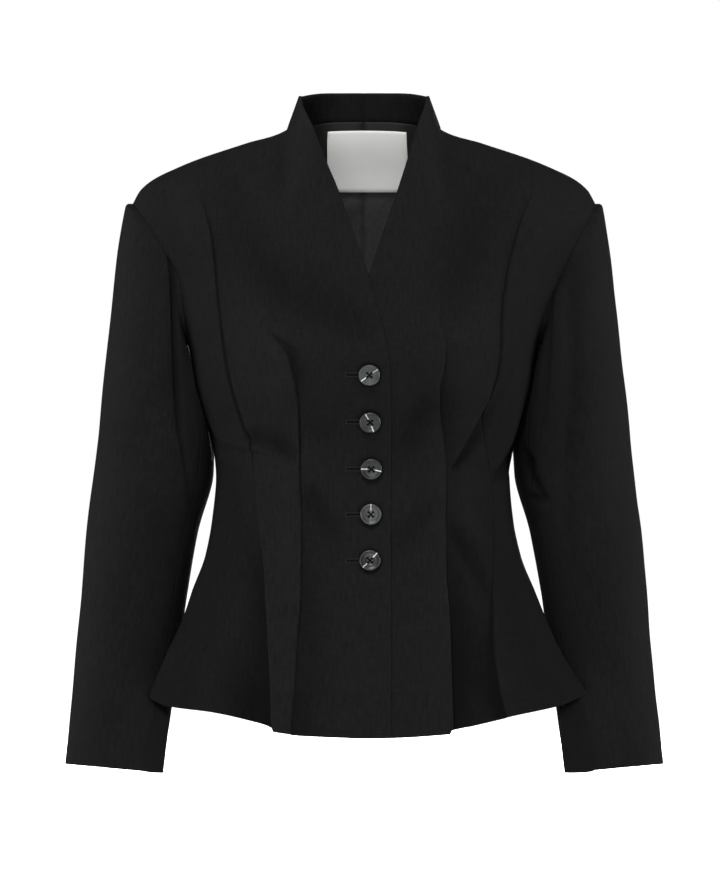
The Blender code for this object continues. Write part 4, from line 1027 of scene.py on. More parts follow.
def shell(name, outer, normals, thickness, material, grain=None, hollow=None, shaded_inside=False):
    """Closed cloth of even thickness on a grid of points, with a rounded rim and a coarser inside."""
    rows, columns = outer.shape[:2]
    inner = outer - normals * thickness
    count = rows * columns
    corner = np.arange(count).reshape(rows, columns)
    quads = np.stack([corner[:-1, :-1], corner[:-1, 1:], corner[1:, 1:], corner[1:, :-1]], axis=-1).reshape(-1, 4)
    rim = np.concatenate([corner[0, :], corner[1:, -1], corner[-1, -2::-1], corner[-2:0:-1, 0]])
    padded = np.pad(outer, ((1, 1), (1, 1), (0, 0)), mode="reflect", reflect_type="odd")
    outward = np.zeros_like(outer)
    outward[0] += unit(padded[0, 1:-1] - outer[0])
    outward[-1] += unit(padded[-1, 1:-1] - outer[-1])
    outward[:, 0] += unit(padded[1:-1, 0] - outer[:, 0])
    outward[:, -1] += unit(padded[1:-1, -1] - outer[:, -1])
    flat_outer, flat_inner = outer.reshape(-1, 3), inner.reshape(-1, 3)
    middle = (flat_outer[rim] + flat_inner[rim]) / 2 + unit(outward.reshape(-1, 3)[rim]) * RIM_ROUND
    backs = [face[::-1] for face in inside_faces(corner)]
    used = np.unique(np.concatenate([np.concatenate(backs), rim]))
    place = np.zeros(count, dtype=int)
    place[used] = count + np.arange(len(used))
    ring = count + len(used) + np.arange(len(rim))
    following, ring_following = np.roll(rim, -1), np.roll(ring, -1)
    rim_outer = np.stack([following, rim, ring, ring_following], axis=-1)
    rim_inner = np.stack([ring_following, ring, place[rim], place[following]], axis=-1)
    faces = [*quads.tolist(), *rim_outer.tolist(), *rim_inner.tolist()]
    faces += [[int(place[index]) for index in face] for face in backs]
    row, column = rows // 2, columns // 2
    facing = np.cross(outer[row, column + 1] - outer[row, column], outer[row + 1, column] - outer[row, column])
    if facing @ normals[row, column] < 0:
        faces = [face[::-1] for face in faces]
    uv = (weave_map(outer) if grain is None else grain).reshape(-1, 2)
    vertices = np.concatenate([flat_outer, flat_inner[used], middle])
    piece = piece_from(name, vertices, faces, material, np.concatenate([uv, uv[used], uv[rim]]))
    # Painted shade rides on the points as an attribute; the inside gets it only when asked
    if hollow is not None:
        depth = hollow.ravel()
        depth = np.concatenate([depth, depth[used] * shaded_inside, depth[rim]])
        piece.data.attributes.new("hollow", "FLOAT", "POINT").data.foreach_set("value", depth)
    return piece


def body_x(side, y, z):
    """Half width of the body at a depth and a height, along the outside of the cloth."""
    side_y = BODY.at("side_y", z)
    behind = y > side_y
    roundness = np.where(behind, BODY.at("back_round", z), FRONT_ROUND)
    reach = np.where(behind, BODY.at("back_y", z), BODY.at("front_y", z)) - side_y
    share = np.clip((y - side_y) / reach, 0, 1)
    return half_width(side, z) * (1 - share ** roundness) ** (1 / roundness)


def clear_of_body(side, points):
    """Press points of the sleeve that would lie in the body out to its side, below the underarm."""
    clear = body_x(side, points[..., 1], points[..., 2]) + SLEEVE_CLEARANCE
    out = side * points[..., 0]
    out = np.where(points[..., 2] < UNDERARM_Z, np.maximum(out, clear), out)
    return np.stack([side * out, points[..., 1], points[..., 2]], axis=-1)


def sleeve_section(side, share, turns):
    """One ring of the sleeve tube; turn 0 is its outer line, a right angle its front."""
    outer = np.array([SLEEVE.at("outer_x", share), SLEEVE.at("outer_z", share)])
    inner = np.array([SLEEVE.at("inner_x", share), SLEEVE.at("inner_z", share)])
    middle, reach = (outer + inner) / 2, (outer - inner) / 2
    bend = 2 / SLEEVE_ROUND
    cosine = np.sign(np.cos(turns)) * np.abs(np.cos(turns)) ** bend
    sine = np.sign(np.sin(turns)) * np.abs(np.sin(turns)) ** bend
    x = middle[0] + reach[0] * cosine
    z = middle[1] + reach[1] * cosine + SLEEVE.at("front_rise", share) * sine
    y = SLEEVE.at("middle_y", share) - SLEEVE.at("half_depth", share) * sine
    return clear_of_body(side, np.stack([side * x, y, z], axis=-1))


def armhole_loop(front, back):
    """Seam points round the armhole from the top by the front and underarm to the back, with where they tuck."""
    def climb(grid, column):
        return grid[:LOW_ROWS - 1:-1, column]

    def loop(front_line, back_line):
        return np.concatenate([front_line, back_line[-2:0:-1]])

    seam = loop(climb(front[0], -1), climb(back[0], -1))
    away = unit(loop(climb(front[0], -1) - climb(front[0], -3), climb(back[0], -1) - climb(back[0], -3)))
    facing = loop(climb(front[1], -1), climb(back[1], -1))
    underarm = len(front[0]) - 1 - LOW_ROWS
    away[underarm] = (0, 0, 1)
    tucked = seam - away * TUCK_UNDER[0] - facing * TUCK_UNDER[1]
    return seam, tucked, underarm


def loop_turns(seam, underarm):
    """Angles round the sleeve for the seam points, by their distance along the seam."""
    ring = np.concatenate([seam, seam[:1]])
    length = np.concatenate([[0], np.cumsum(np.linalg.norm(np.diff(ring, axis=0), axis=1))])
    front = math.pi * length[:underarm + 1] / length[underarm]
    back = math.pi * (1 + (length[underarm + 1:-1] - length[underarm]) / (length[-1] - length[underarm]))
    return np.concatenate([front, back])


def even_loop(seam, tucked, underarm, count):
    """The same seam loops with evenly spread points."""
    turns = np.concatenate([loop_turns(seam, underarm), [2 * math.pi]])
    wanted = np.linspace(0, 2 * math.pi, count, endpoint=False)
    loops = []
    for loop in (seam, tucked):
        ring = np.concatenate([loop, loop[:1]])
        loops.append(np.stack([np.interp(wanted, turns, ring[:, axis]) for axis in range(3)], axis=1))
    return *loops, wanted


def sleeve_rings(side, start, tucked, turns):
    """Rings of a whole sleeve from under the armhole seam to the hem."""
    from_top = np.degrees(np.minimum(turns, 2 * math.pi - turns))
    sideways = np.array([side, 0, 0])
    upward = np.array([0, 0, 1])
    step = sideways * CAP.at("out", from_top)[:, None] + upward * CAP.at("up", from_top)[:, None]
    bump = start + step
    biceps = sleeve_section(side, 0.0, turns)
    below = sleeve_section(side, FIRST_LEAD, turns)
    lead = bump + sideways * CAP.at("lead_out", from_top)[:, None]
    lead = lead - upward * CAP.at("lead_down", from_top)[:, None]
    pull = biceps + unit(biceps - below) * CAP.at("pull", from_top)[:, None]

    def cap(share):
        rest = 1 - share
        ends = bump * rest ** 3 + biceps * share ** 3
        return clear_of_body(side, ends + 3 * share * rest * (lead * rest + pull * share))

    low_bend, high_bend = start + step * HEAD_BEND[0], cap(HEAD_BEND[1])
    rings = [tucked, (tucked + start) / 2, start]
    for share in np.linspace(0, 1, HEAD_ROWS, endpoint=False):
        rest = 1 - share
        rings.append(low_bend * rest ** 2 + 2 * bump * share * rest + high_bend * share ** 2)
    rings += [cap(share) for share in np.linspace(HEAD_BEND[1], 1, CAP_ROWS, endpoint=False)]
    rings += [sleeve_section(side, share, turns) for share in np.linspace(0, 1, TUBE_ROWS + 1)]
    return np.stack(rings)


def grid_normals(points, outward):
    """Unit normals of a grid of points, all facing the same way as outward."""
    normals = unit(np.cross(np.gradient(points, axis=0), np.gradient(points, axis=1)))
    return -normals if np.sum(normals * outward) < 0 else normals


def sleeve_cloth(side, fold_strength):
    """Outer points and normals of a whole sleeve with its folds, the turn of each column and the painted shade of its
    hollows.
    """
    seam, tucked, turns = even_loop(*armhole_loop(*body_panels(side, fold_strength)), SLEEVE_TURNS)
    rings = sleeve_rings(side, seam, tucked, turns)
    closed = np.concatenate([rings[:, -1:], rings, rings[:, :1]], axis=1)
    normals = grid_normals(closed, closed - closed.mean(axis=1, keepdims=True))[:, 1:-1]
    x, y, z = np.moveaxis(rings, -1, 0)
    in_front = np.clip(-normals[..., 1] / FOLD_FACING, 0, 1)
    behind = np.clip(normals[..., 1] / FOLD_FACING, 0, 1)
    rises = folds_rise(SLEEVE_FOLDS[side], side, x, z, fold_strength) * in_front
    rises = rises + folds_rise(SLEEVE_BACK_FOLDS, LEFT, side * x, z, fold_strength) * behind
    from_seam = np.clip((np.arange(len(rings)) - HEAD_ROWS) / SLEEVE_SLACK_ROWS, 0, 1)[:, None]
    rises = rises + SLEEVE_SLACK * slack(x + y, z, SLACK_SEEDS["sleeve"] + side) * from_seam
    outer_half = np.clip((side * x - SLEEVE_OUTER_X) / SLEEVE_OUTER_EASE, 0, 1)
    rises = np.where(rises > 0, rises * outer_half, rises)
    return rings + normals * rises[..., None], normals, turns, np.clip(-rises / HOLLOW_DEPTH, 0, 1)


# Materials

def new_material(name):
    """A new material, its node tree and its shader."""
    material = bpy.data.materials.new(name)
    material.use_nodes = True
    return material, material.node_tree, material.node_tree.nodes["Principled BSDF"]


def made_once(name, make):
    """The named material, made the first time it is asked for."""
    return bpy.data.materials.get(name) or make()


def tinted(colour, factor):
    """A colour made lighter or darker."""
    return tuple(value * factor for value in colour)


def set_sockets(node, values):
    """Give a node's sockets their values, by name."""
    for socket, value in values.items():
        node.inputs[socket].default_value = value


def add_node(tree, kind, **values):
    """A node with its settings; sockets by name."""
    node = tree.nodes.new(kind)
    for name, value in values.items():
        if name in node.inputs:
            node.inputs[name].default_value = value
        else:
            setattr(node, name, value)
    return node


def math_node(tree, operation, first, second=None):
    """A Math node on two sockets or numbers; gives its result socket."""
    node = tree.nodes.new("ShaderNodeMath")
    node.operation = operation
    for index, value in enumerate((first, second)):
        if value is None:
            continue
        if isinstance(value, (int, float)):
            node.inputs[index].default_value = value
        else:
            tree.links.new(value, node.inputs[index])
    return node.outputs[0]


def colour_mix(tree, share, low, high):
    """A Mix node between two colours or colour sockets, by a share socket; gives its result socket."""
    node = add_node(tree, "ShaderNodeMix", data_type="RGBA")
    for index, value in ((0, share), (6, low), (7, high)):
        if isinstance(value, tuple):
            node.inputs[index].default_value = (*value, 1)
        else:
            tree.links.new(value, node.inputs[index])
    return node.outputs[2]


def scaled_colour(tree, colour, factor):
    """A colour socket multiplied by a value socket; gives the result socket."""
    node = add_node(tree, "ShaderNodeVectorMath", operation="SCALE")
    tree.links.new(colour, node.inputs[0])
    tree.links.new(factor, node.inputs["Scale"])
    return node.outputs[0]


def soft_step(tree, value, low, high):
    """A value socket's soft step, nought at low and one at high; gives its result socket."""
    node = add_node(tree, "ShaderNodeMapRange", interpolation_type="SMOOTHSTEP")
    set_sockets(node, {"From Min": low, "From Max": high})
    tree.links.new(value, node.inputs["Value"])
    return node.outputs[0]


def noise_over(tree, where, **values):
    """A Noise node over a vector socket; gives its value socket."""
    node = add_node(tree, "ShaderNodeTexNoise", **values)
    tree.links.new(where, node.inputs["Vector"])
    return node.outputs["Fac"]


def add_relief(tree, shader, height, strength, distance):
    """Bump of a height socket on a shader."""
    relief = add_node(tree, "ShaderNodeBump", Strength=strength, Distance=distance)
    tree.links.new(height, relief.inputs["Height"])
    tree.links.new(relief.outputs["Normal"], shader.inputs["Normal"])


def short_math(tree):
    """Short forms of the Math nodes that add, subtract and multiply in a tree."""
    return (functools.partial(math_node, tree, operation) for operation in ("ADD", "SUBTRACT", "MULTIPLY"))


def weave_group():
    """Shared weave: twill lines, thread unevenness and soft mottling on a cloth map in metres."""
    name = "cloth_weave"
    if name in bpy.data.node_groups:
        return bpy.data.node_groups[name]
    tree = bpy.data.node_groups.new(name, "ShaderNodeTree")
    face = tree.interface
    face.new_socket("Cloth", in_out="INPUT", socket_type="NodeSocketVector")
    for socket, default in (("Pitch", 0.0007), ("Twill", 1.0), ("Slub", 0.5), ("Mottle", 0.5)):
        face.new_socket(socket, in_out="INPUT", socket_type="NodeSocketFloat").default_value = default
    for socket in ("Height", "Shade"):
        face.new_socket(socket, in_out="OUTPUT", socket_type="NodeSocketFloat")
    enter = tree.nodes.new("NodeGroupInput")
    leave = tree.nodes.new("NodeGroupOutput")
    add, less, times = short_math(tree)
    parts = tree.nodes.new("ShaderNodeSeparateXYZ")
    tree.links.new(enter.outputs["Cloth"], parts.inputs[0])
    u, v = (math_node(tree, "DIVIDE", parts.outputs[axis], enter.outputs["Pitch"]) for axis in (0, 1))
    lines = math_node(tree, "SINE", times(add(u, times(v, 0.6)), math.tau))
    picks = math_node(tree, "SINE", times(less(v, times(u, 0.5)), math.tau))
    twill = times(add(times(lines, 0.7), times(picks, 0.3)), enter.outputs["Twill"])
    threads = []
    for scale, share in ((WARP_SCALE, 0.8), (WEFT_SCALE, 0.2)):
        stretch = add_node(tree, "ShaderNodeMapping", Scale=scale)
        tree.links.new(enter.outputs["Cloth"], stretch.inputs["Vector"])
        threads.append(times(noise_over(tree, stretch.outputs[0], Scale=1.0, Detail=3.0, Roughness=0.6), share))
    uneven = times(less(add(*threads), 0.5), enter.outputs["Slub"])
    tree.links.new(add(times(twill, 0.5), uneven), leave.inputs["Height"])
    mottle = noise_over(tree, enter.outputs["Cloth"], Scale=260.0, Detail=4.0, Roughness=0.6)
    cloud = times(less(mottle, 0.5), enter.outputs["Mottle"])
    shade = add(add(uneven, cloud), times(twill, 0.08))
    tree.links.new(add(shade, 0.5), leave.inputs["Shade"])
    return tree


def woven(name, colour, pitch):
    """A cloth material: colour, roughness and bump from the shared weave, its colour darkened by painted shade in the
    hollows, inside the neck, beside the sleeves and round the buttons.
    """
    look = WEAVES[name]
    material, tree, shader = new_material(name)
    add, less, times = short_math(tree)
    where = add_node(tree, "ShaderNodeUVMap", uv_map="cloth")
    weave = add_node(tree, "ShaderNodeGroup", node_tree=weave_group())
    set_sockets(weave, {"Pitch": pitch * look["pitch"], "Twill": look["twill"], "Slub": look["slub"],
                        "Mottle": look["mottle"]})
    tree.links.new(where.outputs["UV"], weave.inputs["Cloth"])
    tint = colour_mix(tree, weave.outputs["Shade"], tinted(colour, look["dark"]), tinted(colour, look["light"]))
    # Painted shade: the point attribute darkens the base colour where shade falls
    depth = add_node(tree, "ShaderNodeAttribute", attribute_name="hollow")
    darker = scaled_colour(tree, tint, less(1.0, times(depth.outputs["Fac"], HOLLOW_SHADE)))
    tree.links.new(darker, shader.inputs["Base Color"])
    rough = add(times(weave.outputs["Shade"], ROUGHNESS_SPREAD), look["roughness"] - ROUGHNESS_SPREAD / 2)
    tree.links.new(rough, shader.inputs["Roughness"])
    add_relief(tree, shader, weave.outputs["Height"], look["bump"], WEAVE_RELIEF)
    set_sockets(shader, {"Sheen Weight": look["sheen"], "Sheen Roughness": 0.5, "Specular IOR Level": look["specular"]})
    return material


def suiting(cloth):
    """The suiting of fronts, backs, collar and sleeves."""
    return made_once("suiting_weave", lambda: woven("suiting_weave", cloth.suiting_colour, cloth.weave_pitch))


def satin(cloth):
    """The lining's satin."""
    return made_once("lining_satin", lambda: woven("lining_satin", cloth.satin_colour, cloth.weave_pitch))


def label_satin(cloth):
    """The label's satin."""
    return made_once("label_satin_weave", lambda: woven("label_satin_weave", cloth.label_colour, cloth.weave_pitch))


def sew(kind, side, points, normals, thickness, material, rests_on, **marks):
    """Make a cloth piece and hide the packed part that it stands in for."""
    node = f"{kind}_{SIDE_NAMES[side]}" if side else kind
    piece = shell(node + "_cloth", points, normals, thickness, material, **marks)
    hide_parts(node)


# Settings

class BlazerCloth(PropertyGroup):
    """Cloth sizes and colours"""
    thickness: FloatProperty(name="Cloth thickness", description="Thickness of the suiting wall", default=0.0018,
                             unit="LENGTH")
    fold_strength: FloatProperty(name="Fold strength", description="Height of the hand-laid folds", default=1.0)
    weave_pitch: FloatProperty(name="Weave pitch", description="Distance between twill lines", default=0.0008,
                               unit="LENGTH")
    suiting_colour: FloatVectorProperty(name="Suiting", description="Colour of the suiting", subtype="COLOR",
                                        default=(0.0072, 0.0072, 0.0072))
    satin_colour: FloatVectorProperty(name="Lining", description="Colour of the satin lining", subtype="COLOR",
                                      default=(0.0195, 0.0195, 0.0201))
    label_colour: FloatVectorProperty(name="Label", description="Colour of the bare label", subtype="COLOR",
                                      default=(0.54, 0.54, 0.524))


class BlazerSewing(PropertyGroup):
    """Threads"""
    thread_colour: FloatVectorProperty(name="Thread", description="Colour of the sewing thread", subtype="COLOR",
                                       default=(0.002, 0.002, 0.002))
    lip_colour: FloatVectorProperty(name="Lips", description="Colour of the buttonhole thread", subtype="COLOR",
                                    default=(0.011, 0.011, 0.011))
    lip_thread: FloatProperty(name="Lip thread", description="Half the thickness of the buttonhole thread",
                              default=0.00032, unit="LENGTH")


class BlazerStage(PropertyGroup):
    """Light, floor and camera"""
    floor_colour: FloatVectorProperty(name="Floor", description="Colour of the floor",
                                      subtype="COLOR", default=(0.9, 0.9, 0.9))
    floor_glow: FloatProperty(name="Floor glow", description="Brightness of the floor as seen",
                              default=1.15)
    sky_strength: FloatProperty(name="Surround light", description="Strength of the light from all round",
                                default=0.14)
    key_power: FloatProperty(name="Key light", description="Power of the light above the front",
                             default=115.0, unit="POWER")
    side_power: FloatProperty(name="Side light", description="Power of the lights on both sides", default=78.0,
                              unit="POWER")
    front_power: FloatProperty(name="Front light", description="Power of the light above the camera", default=53.0,
                               unit="POWER")
    back_power: FloatProperty(name="Back light", description="Power of the light behind the garment", default=110.0,
                              unit="POWER")
    neck_power: FloatProperty(name="Neck light", description="Power of the small light into the neck", default=1.0,
                              unit="POWER")
    camera_distance: FloatProperty(name="Camera distance", description="From the camera to the garment's middle",
                                   default=3.2, unit="LENGTH")
    lens: FloatProperty(name="Lens", description="Focal length of the camera", default=132.41, unit="CAMERA")


class BLAZER_OT_fronts(Operator):
    """Make the two fronts with their tucks, folds and halves of the collar"""
    bl_idname = "blazer.fronts"
    bl_label = "Fronts"

    def execute(self, context):
        cloth = context.scene.blazer_cloth
        edges = {"top": SEAM_DRAW, "last": SEAM_DRAW, "hem": RIM_ROUND, "first": RIM_ROUND}
        for side, name in SIDE_NAMES.items():
            (points, normals, grain, hollow), _ = body_panels(side, cloth.fold_strength)
            sew("front", side, draw_back(points, normals, edges), normals, cloth.thickness / MM, suiting(cloth),
                ["back_" + name], grain=grain, hollow=hollow)
        return {"FINISHED"}


BACK_EDGES = {"top": SEAM_DRAW, "first": SEAM_DRAW, "last": SEAM_DRAW, "hem": RIM_ROUND}


class BLAZER_OT_backs(Operator):
    """Make the two back halves"""
    bl_idname = "blazer.backs"
    bl_label = "Backs"

    def execute(self, context):
        cloth = context.scene.blazer_cloth
        for side, name in SIDE_NAMES.items():
            _, (points, normals, grain, hollow) = body_panels(side, cloth.fold_strength)
            sew("back", side, draw_back(points, normals, BACK_EDGES), normals, cloth.thickness / MM, suiting(cloth),
                ["back_collar_" + name], grain=grain, hollow=hollow)
        return {"FINISHED"}


class BLAZER_OT_collar(Operator):
    """Make the back of the stand collar and its facing"""
    bl_idname = "blazer.collar"
    bl_label = "Collar"

    def execute(self, context):
        cloth = context.scene.blazer_cloth
        edges = {"hem": SEAM_DRAW, "first": SEAM_DRAW, "last": SEAM_DRAW, "top": RIM_ROUND}
        for side, name in SIDE_NAMES.items():
            for kind, top, inset, thickness, under in (
                    ("back_collar", 1.0, 0.0, cloth.thickness / MM, "back_"),
                    ("collar_facing", FACING_TOP, CAD_WALL + LAYER_GAP, FACING_WALL, "back_collar_")):
                points, normals = collar_band(side, top)
                points = draw_back(points - normals * inset, normals, edges)
                sew(kind, side, points, normals, thickness, suiting(cloth), [under + name])
        return {"FINISHED"}


class BLAZER_OT_lining(Operator):
    """Make the satin back lining"""
    bl_idname = "blazer.lining"
    bl_label = "Lining"

    def execute(self, context):
        cloth = context.scene.blazer_cloth
        for side, name in SIDE_NAMES.items():
            _, (points, normals, grain, _) = body_panels(side, cloth.fold_strength)
            first_row = int(np.argmin(np.abs(points[:, 0, 2] - LINING_HEM_Z)))
            points, normals, grain = (grid[first_row:] for grid in (points, normals, grain))
            points = points - normals * (CAD_WALL + LAYER_GAP + lining_creases(points)[..., None])
            points = draw_back(points, normals, BACK_EDGES)
            # Painted shade on the lining, rising from the label's lower edge towards the neck, where the collar shades
            # it
            shade = NECK_SHADE * np.clip((points[..., 2] - LABEL_Z[0]) / NECK_SHADE_RISE, 0, 1)
            sew("lining", side, points, normals, LINING_WALL, satin(cloth), ["back_" + name],
                grain=grain, hollow=shade, shaded_inside=True)
        return {"FINISHED"}


class BLAZER_OT_label(Operator):
    """Make the bare neck label"""
    bl_idname = "blazer.label"
    bl_label = "Label"

    def execute(self, context):
        cloth = context.scene.blazer_cloth
        depth = CAD_WALL + LAYER_GAP + LINING_WALL + LABEL_GAP
        across = np.linspace(*LABEL_X, LABEL_COLUMNS)
        sides = np.where(across < 0, RIGHT, LEFT)
        rows = []
        for share in np.linspace(0, 1, LABEL_ROWS):
            z = LABEL_Z[0] + (LABEL_Z[1] - LABEL_Z[0]) * share + LABEL_PEAK * share * np.cos(across / LABEL_CURL)
            rows.append(np.stack([
                back_surface(side, turn_of(side, x, height, BODY.at("back_round", height)), height)
                for side, x, height in zip(sides, across, z)]))
        points = np.stack(rows)
        normals = grid_normals(points, points * np.array([1, 1, 0]))
        points = draw_back(points - normals * depth, normals, dict.fromkeys(EDGE_LINES, RIM_ROUND))
        sew("label", None, points, normals, LABEL_WALL, label_satin(cloth), ["lining_right", "lining_left"])
        return {"FINISHED"}


class BLAZER_OT_sleeves(Operator):
    """Make the two-piece sleeves"""
    bl_idname = "blazer.sleeves"
    bl_label = "Sleeves"

    def execute(self, context):
        cloth = context.scene.blazer_cloth
        edges = {"first": SEAM_DRAW, "last": SEAM_DRAW, "hem": SEAM_DRAW, "top": RIM_ROUND}
        for side, name in SIDE_NAMES.items():
            points, normals, turns, hollow = sleeve_cloth(side, cloth.fold_strength)
            front_seam, back_seam = (int(np.argmin(np.abs(np.degrees(turns) - seam)))
                                     for seam in (FRONT_SLEEVE_SEAM, BACK_SLEEVE_SEAM))
            count = len(turns)
            upper = [index % count for index in range(back_seam, count + front_seam + 1)]
            under = list(range(front_seam, back_seam + 1))
            around = np.where(turns > math.pi, turns - 2 * math.pi, turns) * SLEEVE_RADIUS * MM
            for kind, columns in (("upper_sleeve", upper), ("under_sleeve", under)):
                grid = draw_back(points[:, columns], normals[:, columns], edges)
                grain = weave_map(grid)
                grain[..., 0] = around[columns]
                sew(kind, side, grid, normals[:, columns], cloth.thickness / MM, suiting(cloth),
                    ["front_" + name, "back_" + name], grain=grain, hollow=hollow[:, columns])
        return {"FINISHED"}


def front_height(x, z):
    """Depth of the right front's outside near its edge at a front-view place."""
    point = front_surface(RIGHT, turn_of(RIGHT, x, z, FRONT_ROUND), z)
    return point[1] - float(tuck_rise(FRONT_TUCKS[RIGHT], RIGHT, np.array(x), np.array(z)))


def button_seat(x, z):
    """Centre of a button's back and its three directions: along, up and out, flat on the right front."""
    reach = BUTTON_RADIUS
    fall_x = (front_height(x + reach, z) - front_height(x - reach, z)) / (2 * reach)
    fall_z = (front_height(x, z + reach) - front_height(x, z - reach)) / (2 * reach)
    rim = [(reach * math.cos(angle), reach * math.sin(angle))
           for angle in np.linspace(0, 2 * math.pi, 12, endpoint=False)] + [(0.0, 0.0)]
    nearest = min(front_height(x + dx, z + dz) - fall_x * dx - fall_z * dz for dx, dz in rim)
    face = unit(np.array([fall_x, -1.0, fall_z]))
    along = unit(np.array([1.0, fall_x, 0.0]))
    return np.array([x, nearest - BUTTON_LIFT, z]), np.stack([along, np.cross(face, along), face], axis=1)


def lathe(name, profile, sides):
    """A closed turned mesh about z, in millimetres, from a profile that starts and ends on the axis."""
    rings = profile[1:-1]
    angles = np.linspace(0, 2 * math.pi, sides, endpoint=False)
    vertices = [(0, 0, profile[0][1]), (0, 0, profile[-1][1])]
    for radius, height in rings:
        vertices.extend((radius * math.cos(angle), radius * math.sin(angle), height) for angle in angles)
    faces = []
    last = 2 + (len(rings) - 1) * sides
    for number in range(sides):
        following = (number + 1) % sides
        faces.append((0, 2 + following, 2 + number))
        faces.append((1, last + number, last + following))
        for base in range(2, last, sides):
            faces.append((base + number, base + following, base + sides + following, base + sides + number))
    mesh = bpy.data.meshes.new(name)
    mesh.from_pydata(vertices, [], faces)
    return mesh


def button_blank():
    """One button about its own axis, with four sewing holes: points and faces in millimetres."""
    blank = bpy.data.objects.new("button_blank", lathe("button_blank", BUTTON_PROFILE, BUTTON_SIDES))
    bpy.context.collection.objects.link(blank)
    low, high = -1, BUTTON_HEIGHT + 1
    drill = bpy.data.objects.new("drill", lathe("drill", [
        (0, low), (BUTTON_HOLE_RADIUS, low), (BUTTON_HOLE_RADIUS, high), (0, high)], HOLE_SIDES))
    bpy.context.collection.objects.link(drill)
    for number in range(4):
        angle = math.pi / 4 + number * math.pi / 2
        reach = BUTTON_HOLE_SPREAD * math.sqrt(2)
        drill.location = (reach * math.cos(angle), reach * math.sin(angle), 0)
        cut = blank.modifiers.new("hole", "BOOLEAN")
        cut.operation = "DIFFERENCE"
        cut.object = drill
        evaluated = blank.evaluated_get(bpy.context.evaluated_depsgraph_get())
        pierced = bpy.data.meshes.new_from_object(evaluated)
        blank.modifiers.clear()
        blank.data = pierced
    vertices = np.array([vertex.co[:] for vertex in blank.data.vertices])
    faces = [tuple(face.vertices) for face in blank.data.polygons]
    bpy.data.objects.remove(drill)
    bpy.data.objects.remove(blank)
    return vertices, faces


def tube(path, radius, sides):
    """Points and faces of a closed thread along a path."""
    path = np.asarray(path, dtype=float)
    tangent = unit(np.gradient(path, axis=0))
    side = unit(np.cross(tangent, np.array([0.03, 0.02, 1.0])))
    up = np.cross(side, tangent)
    angles = np.linspace(0, 2 * math.pi, sides, endpoint=False)
    ring = np.cos(angles)[:, None, None] * side + np.sin(angles)[:, None, None] * up
    vertices = (path + radius * ring).transpose(1, 0, 2).reshape(-1, 3)
    faces = []
    for row in range(len(path) - 1):
        for number in range(sides):
            following = (number + 1) % sides
            base = row * sides
            faces.append((base + number, base + following, base + sides + following, base + sides + number))
    faces.append(tuple(range(sides - 1, -1, -1)))
    faces.append(tuple((len(path) - 1) * sides + number for number in range(sides)))
    return vertices, faces


def button_threads():
    """The crossed sewing threads of one button, about its axis: points and faces in millimetres."""
    vertices, faces = [], []
    share = np.linspace(-1, 1, THREAD_POINTS)
    dive = np.clip((np.abs(share) - THREAD_DIVE_START) / (1 - THREAD_DIVE_START), 0, 1)
    for slant, height in THREAD_LAYERS:
        z = THREAD_BASE_Z + height * (1 - share ** 2) - THREAD_DIVE * dive ** 2
        for offset in THREAD_OFFSETS:
            shift = offset / math.sqrt(2) * (1 - THREAD_PINCH * dive)
            x, y = BUTTON_HOLE_SPREAD * share, slant * BUTTON_HOLE_SPREAD * share
            points, rings = tube(np.stack([x - slant * shift, y + shift, z], axis=1), THREAD_RADIUS, THREAD_SIDES)
            faces.extend(tuple(index + len(vertices) for index in ring) for ring in rings)
            vertices.extend(points)
    return np.array(vertices), faces


def horn():
    """Dark horn with a pale streak across each button, turned rings and a soft cloud."""
    material, tree, shader = new_material("horn_streaked")
    add, less, times = short_math(tree)
    link = tree.links.new
    where = add_node(tree, "ShaderNodeUVMap", uv_map="disc")
    parts = tree.nodes.new("ShaderNodeSeparateXYZ")
    link(where.outputs["UV"], parts.inputs[0])
    u, v = parts.outputs[0], parts.outputs[1]
    radius = math_node(tree, "SQRT", add(times(u, u), times(v, v)))
    mark = add_node(tree, "ShaderNodeAttribute", attribute_name="streak")
    halves = tree.nodes.new("ShaderNodeSeparateColor")
    link(mark.outputs["Color"], halves.inputs[0])
    first, second, apart = (halves.outputs[index] for index in range(3))
    forward = math_node(tree, "GREATER_THAN", u, 0.0)
    level = add(times(forward, first), times(less(1.0, forward), second))
    bend = times(less(apart, 0.5), math_node(tree, "ABSOLUTE", u))
    off = math_node(tree, "DIVIDE", less(v, bend), STREAK_WIDTH)
    line = math_node(tree, "POWER", math.e, times(times(off, off), -1.0))
    start, end = (soft_step(tree, radius, *ends) for ends in STREAK_ENDS)
    streak = times(times(line, level), times(start, end))
    own = add_node(tree, "ShaderNodeVectorMath", operation="MULTIPLY_ADD")
    own.inputs[1].default_value = CLOUD_SHIFT
    link(mark.outputs["Vector"], own.inputs[0])
    link(where.outputs["UV"], own.inputs[2])
    cloud = noise_over(tree, own.outputs[0], Scale=2.2, Detail=4.0, Roughness=0.6)
    rings = add_node(tree, "ShaderNodeTexNoise", noise_dimensions="1D", Scale=26.0, Detail=2.0)
    link(radius, rings.inputs["W"])
    turned = rings.outputs["Fac"]
    shade = add(times(cloud, 1.6), less(times(turned, 0.4), 0.5))
    toned = scaled_colour(tree, colour_mix(tree, shade, HORN_DARK, HORN_LIGHT), mark.outputs["Alpha"])
    link(colour_mix(tree, streak, toned, HORN_STREAK), shader.inputs["Base Color"])
    link(add(times(turned, 0.15), 0.28), shader.inputs["Roughness"])
    add_relief(tree, shader, turned, 0.15, 0.0002)
    set_sockets(shader, {"Specular IOR Level": 0.25})
    return material


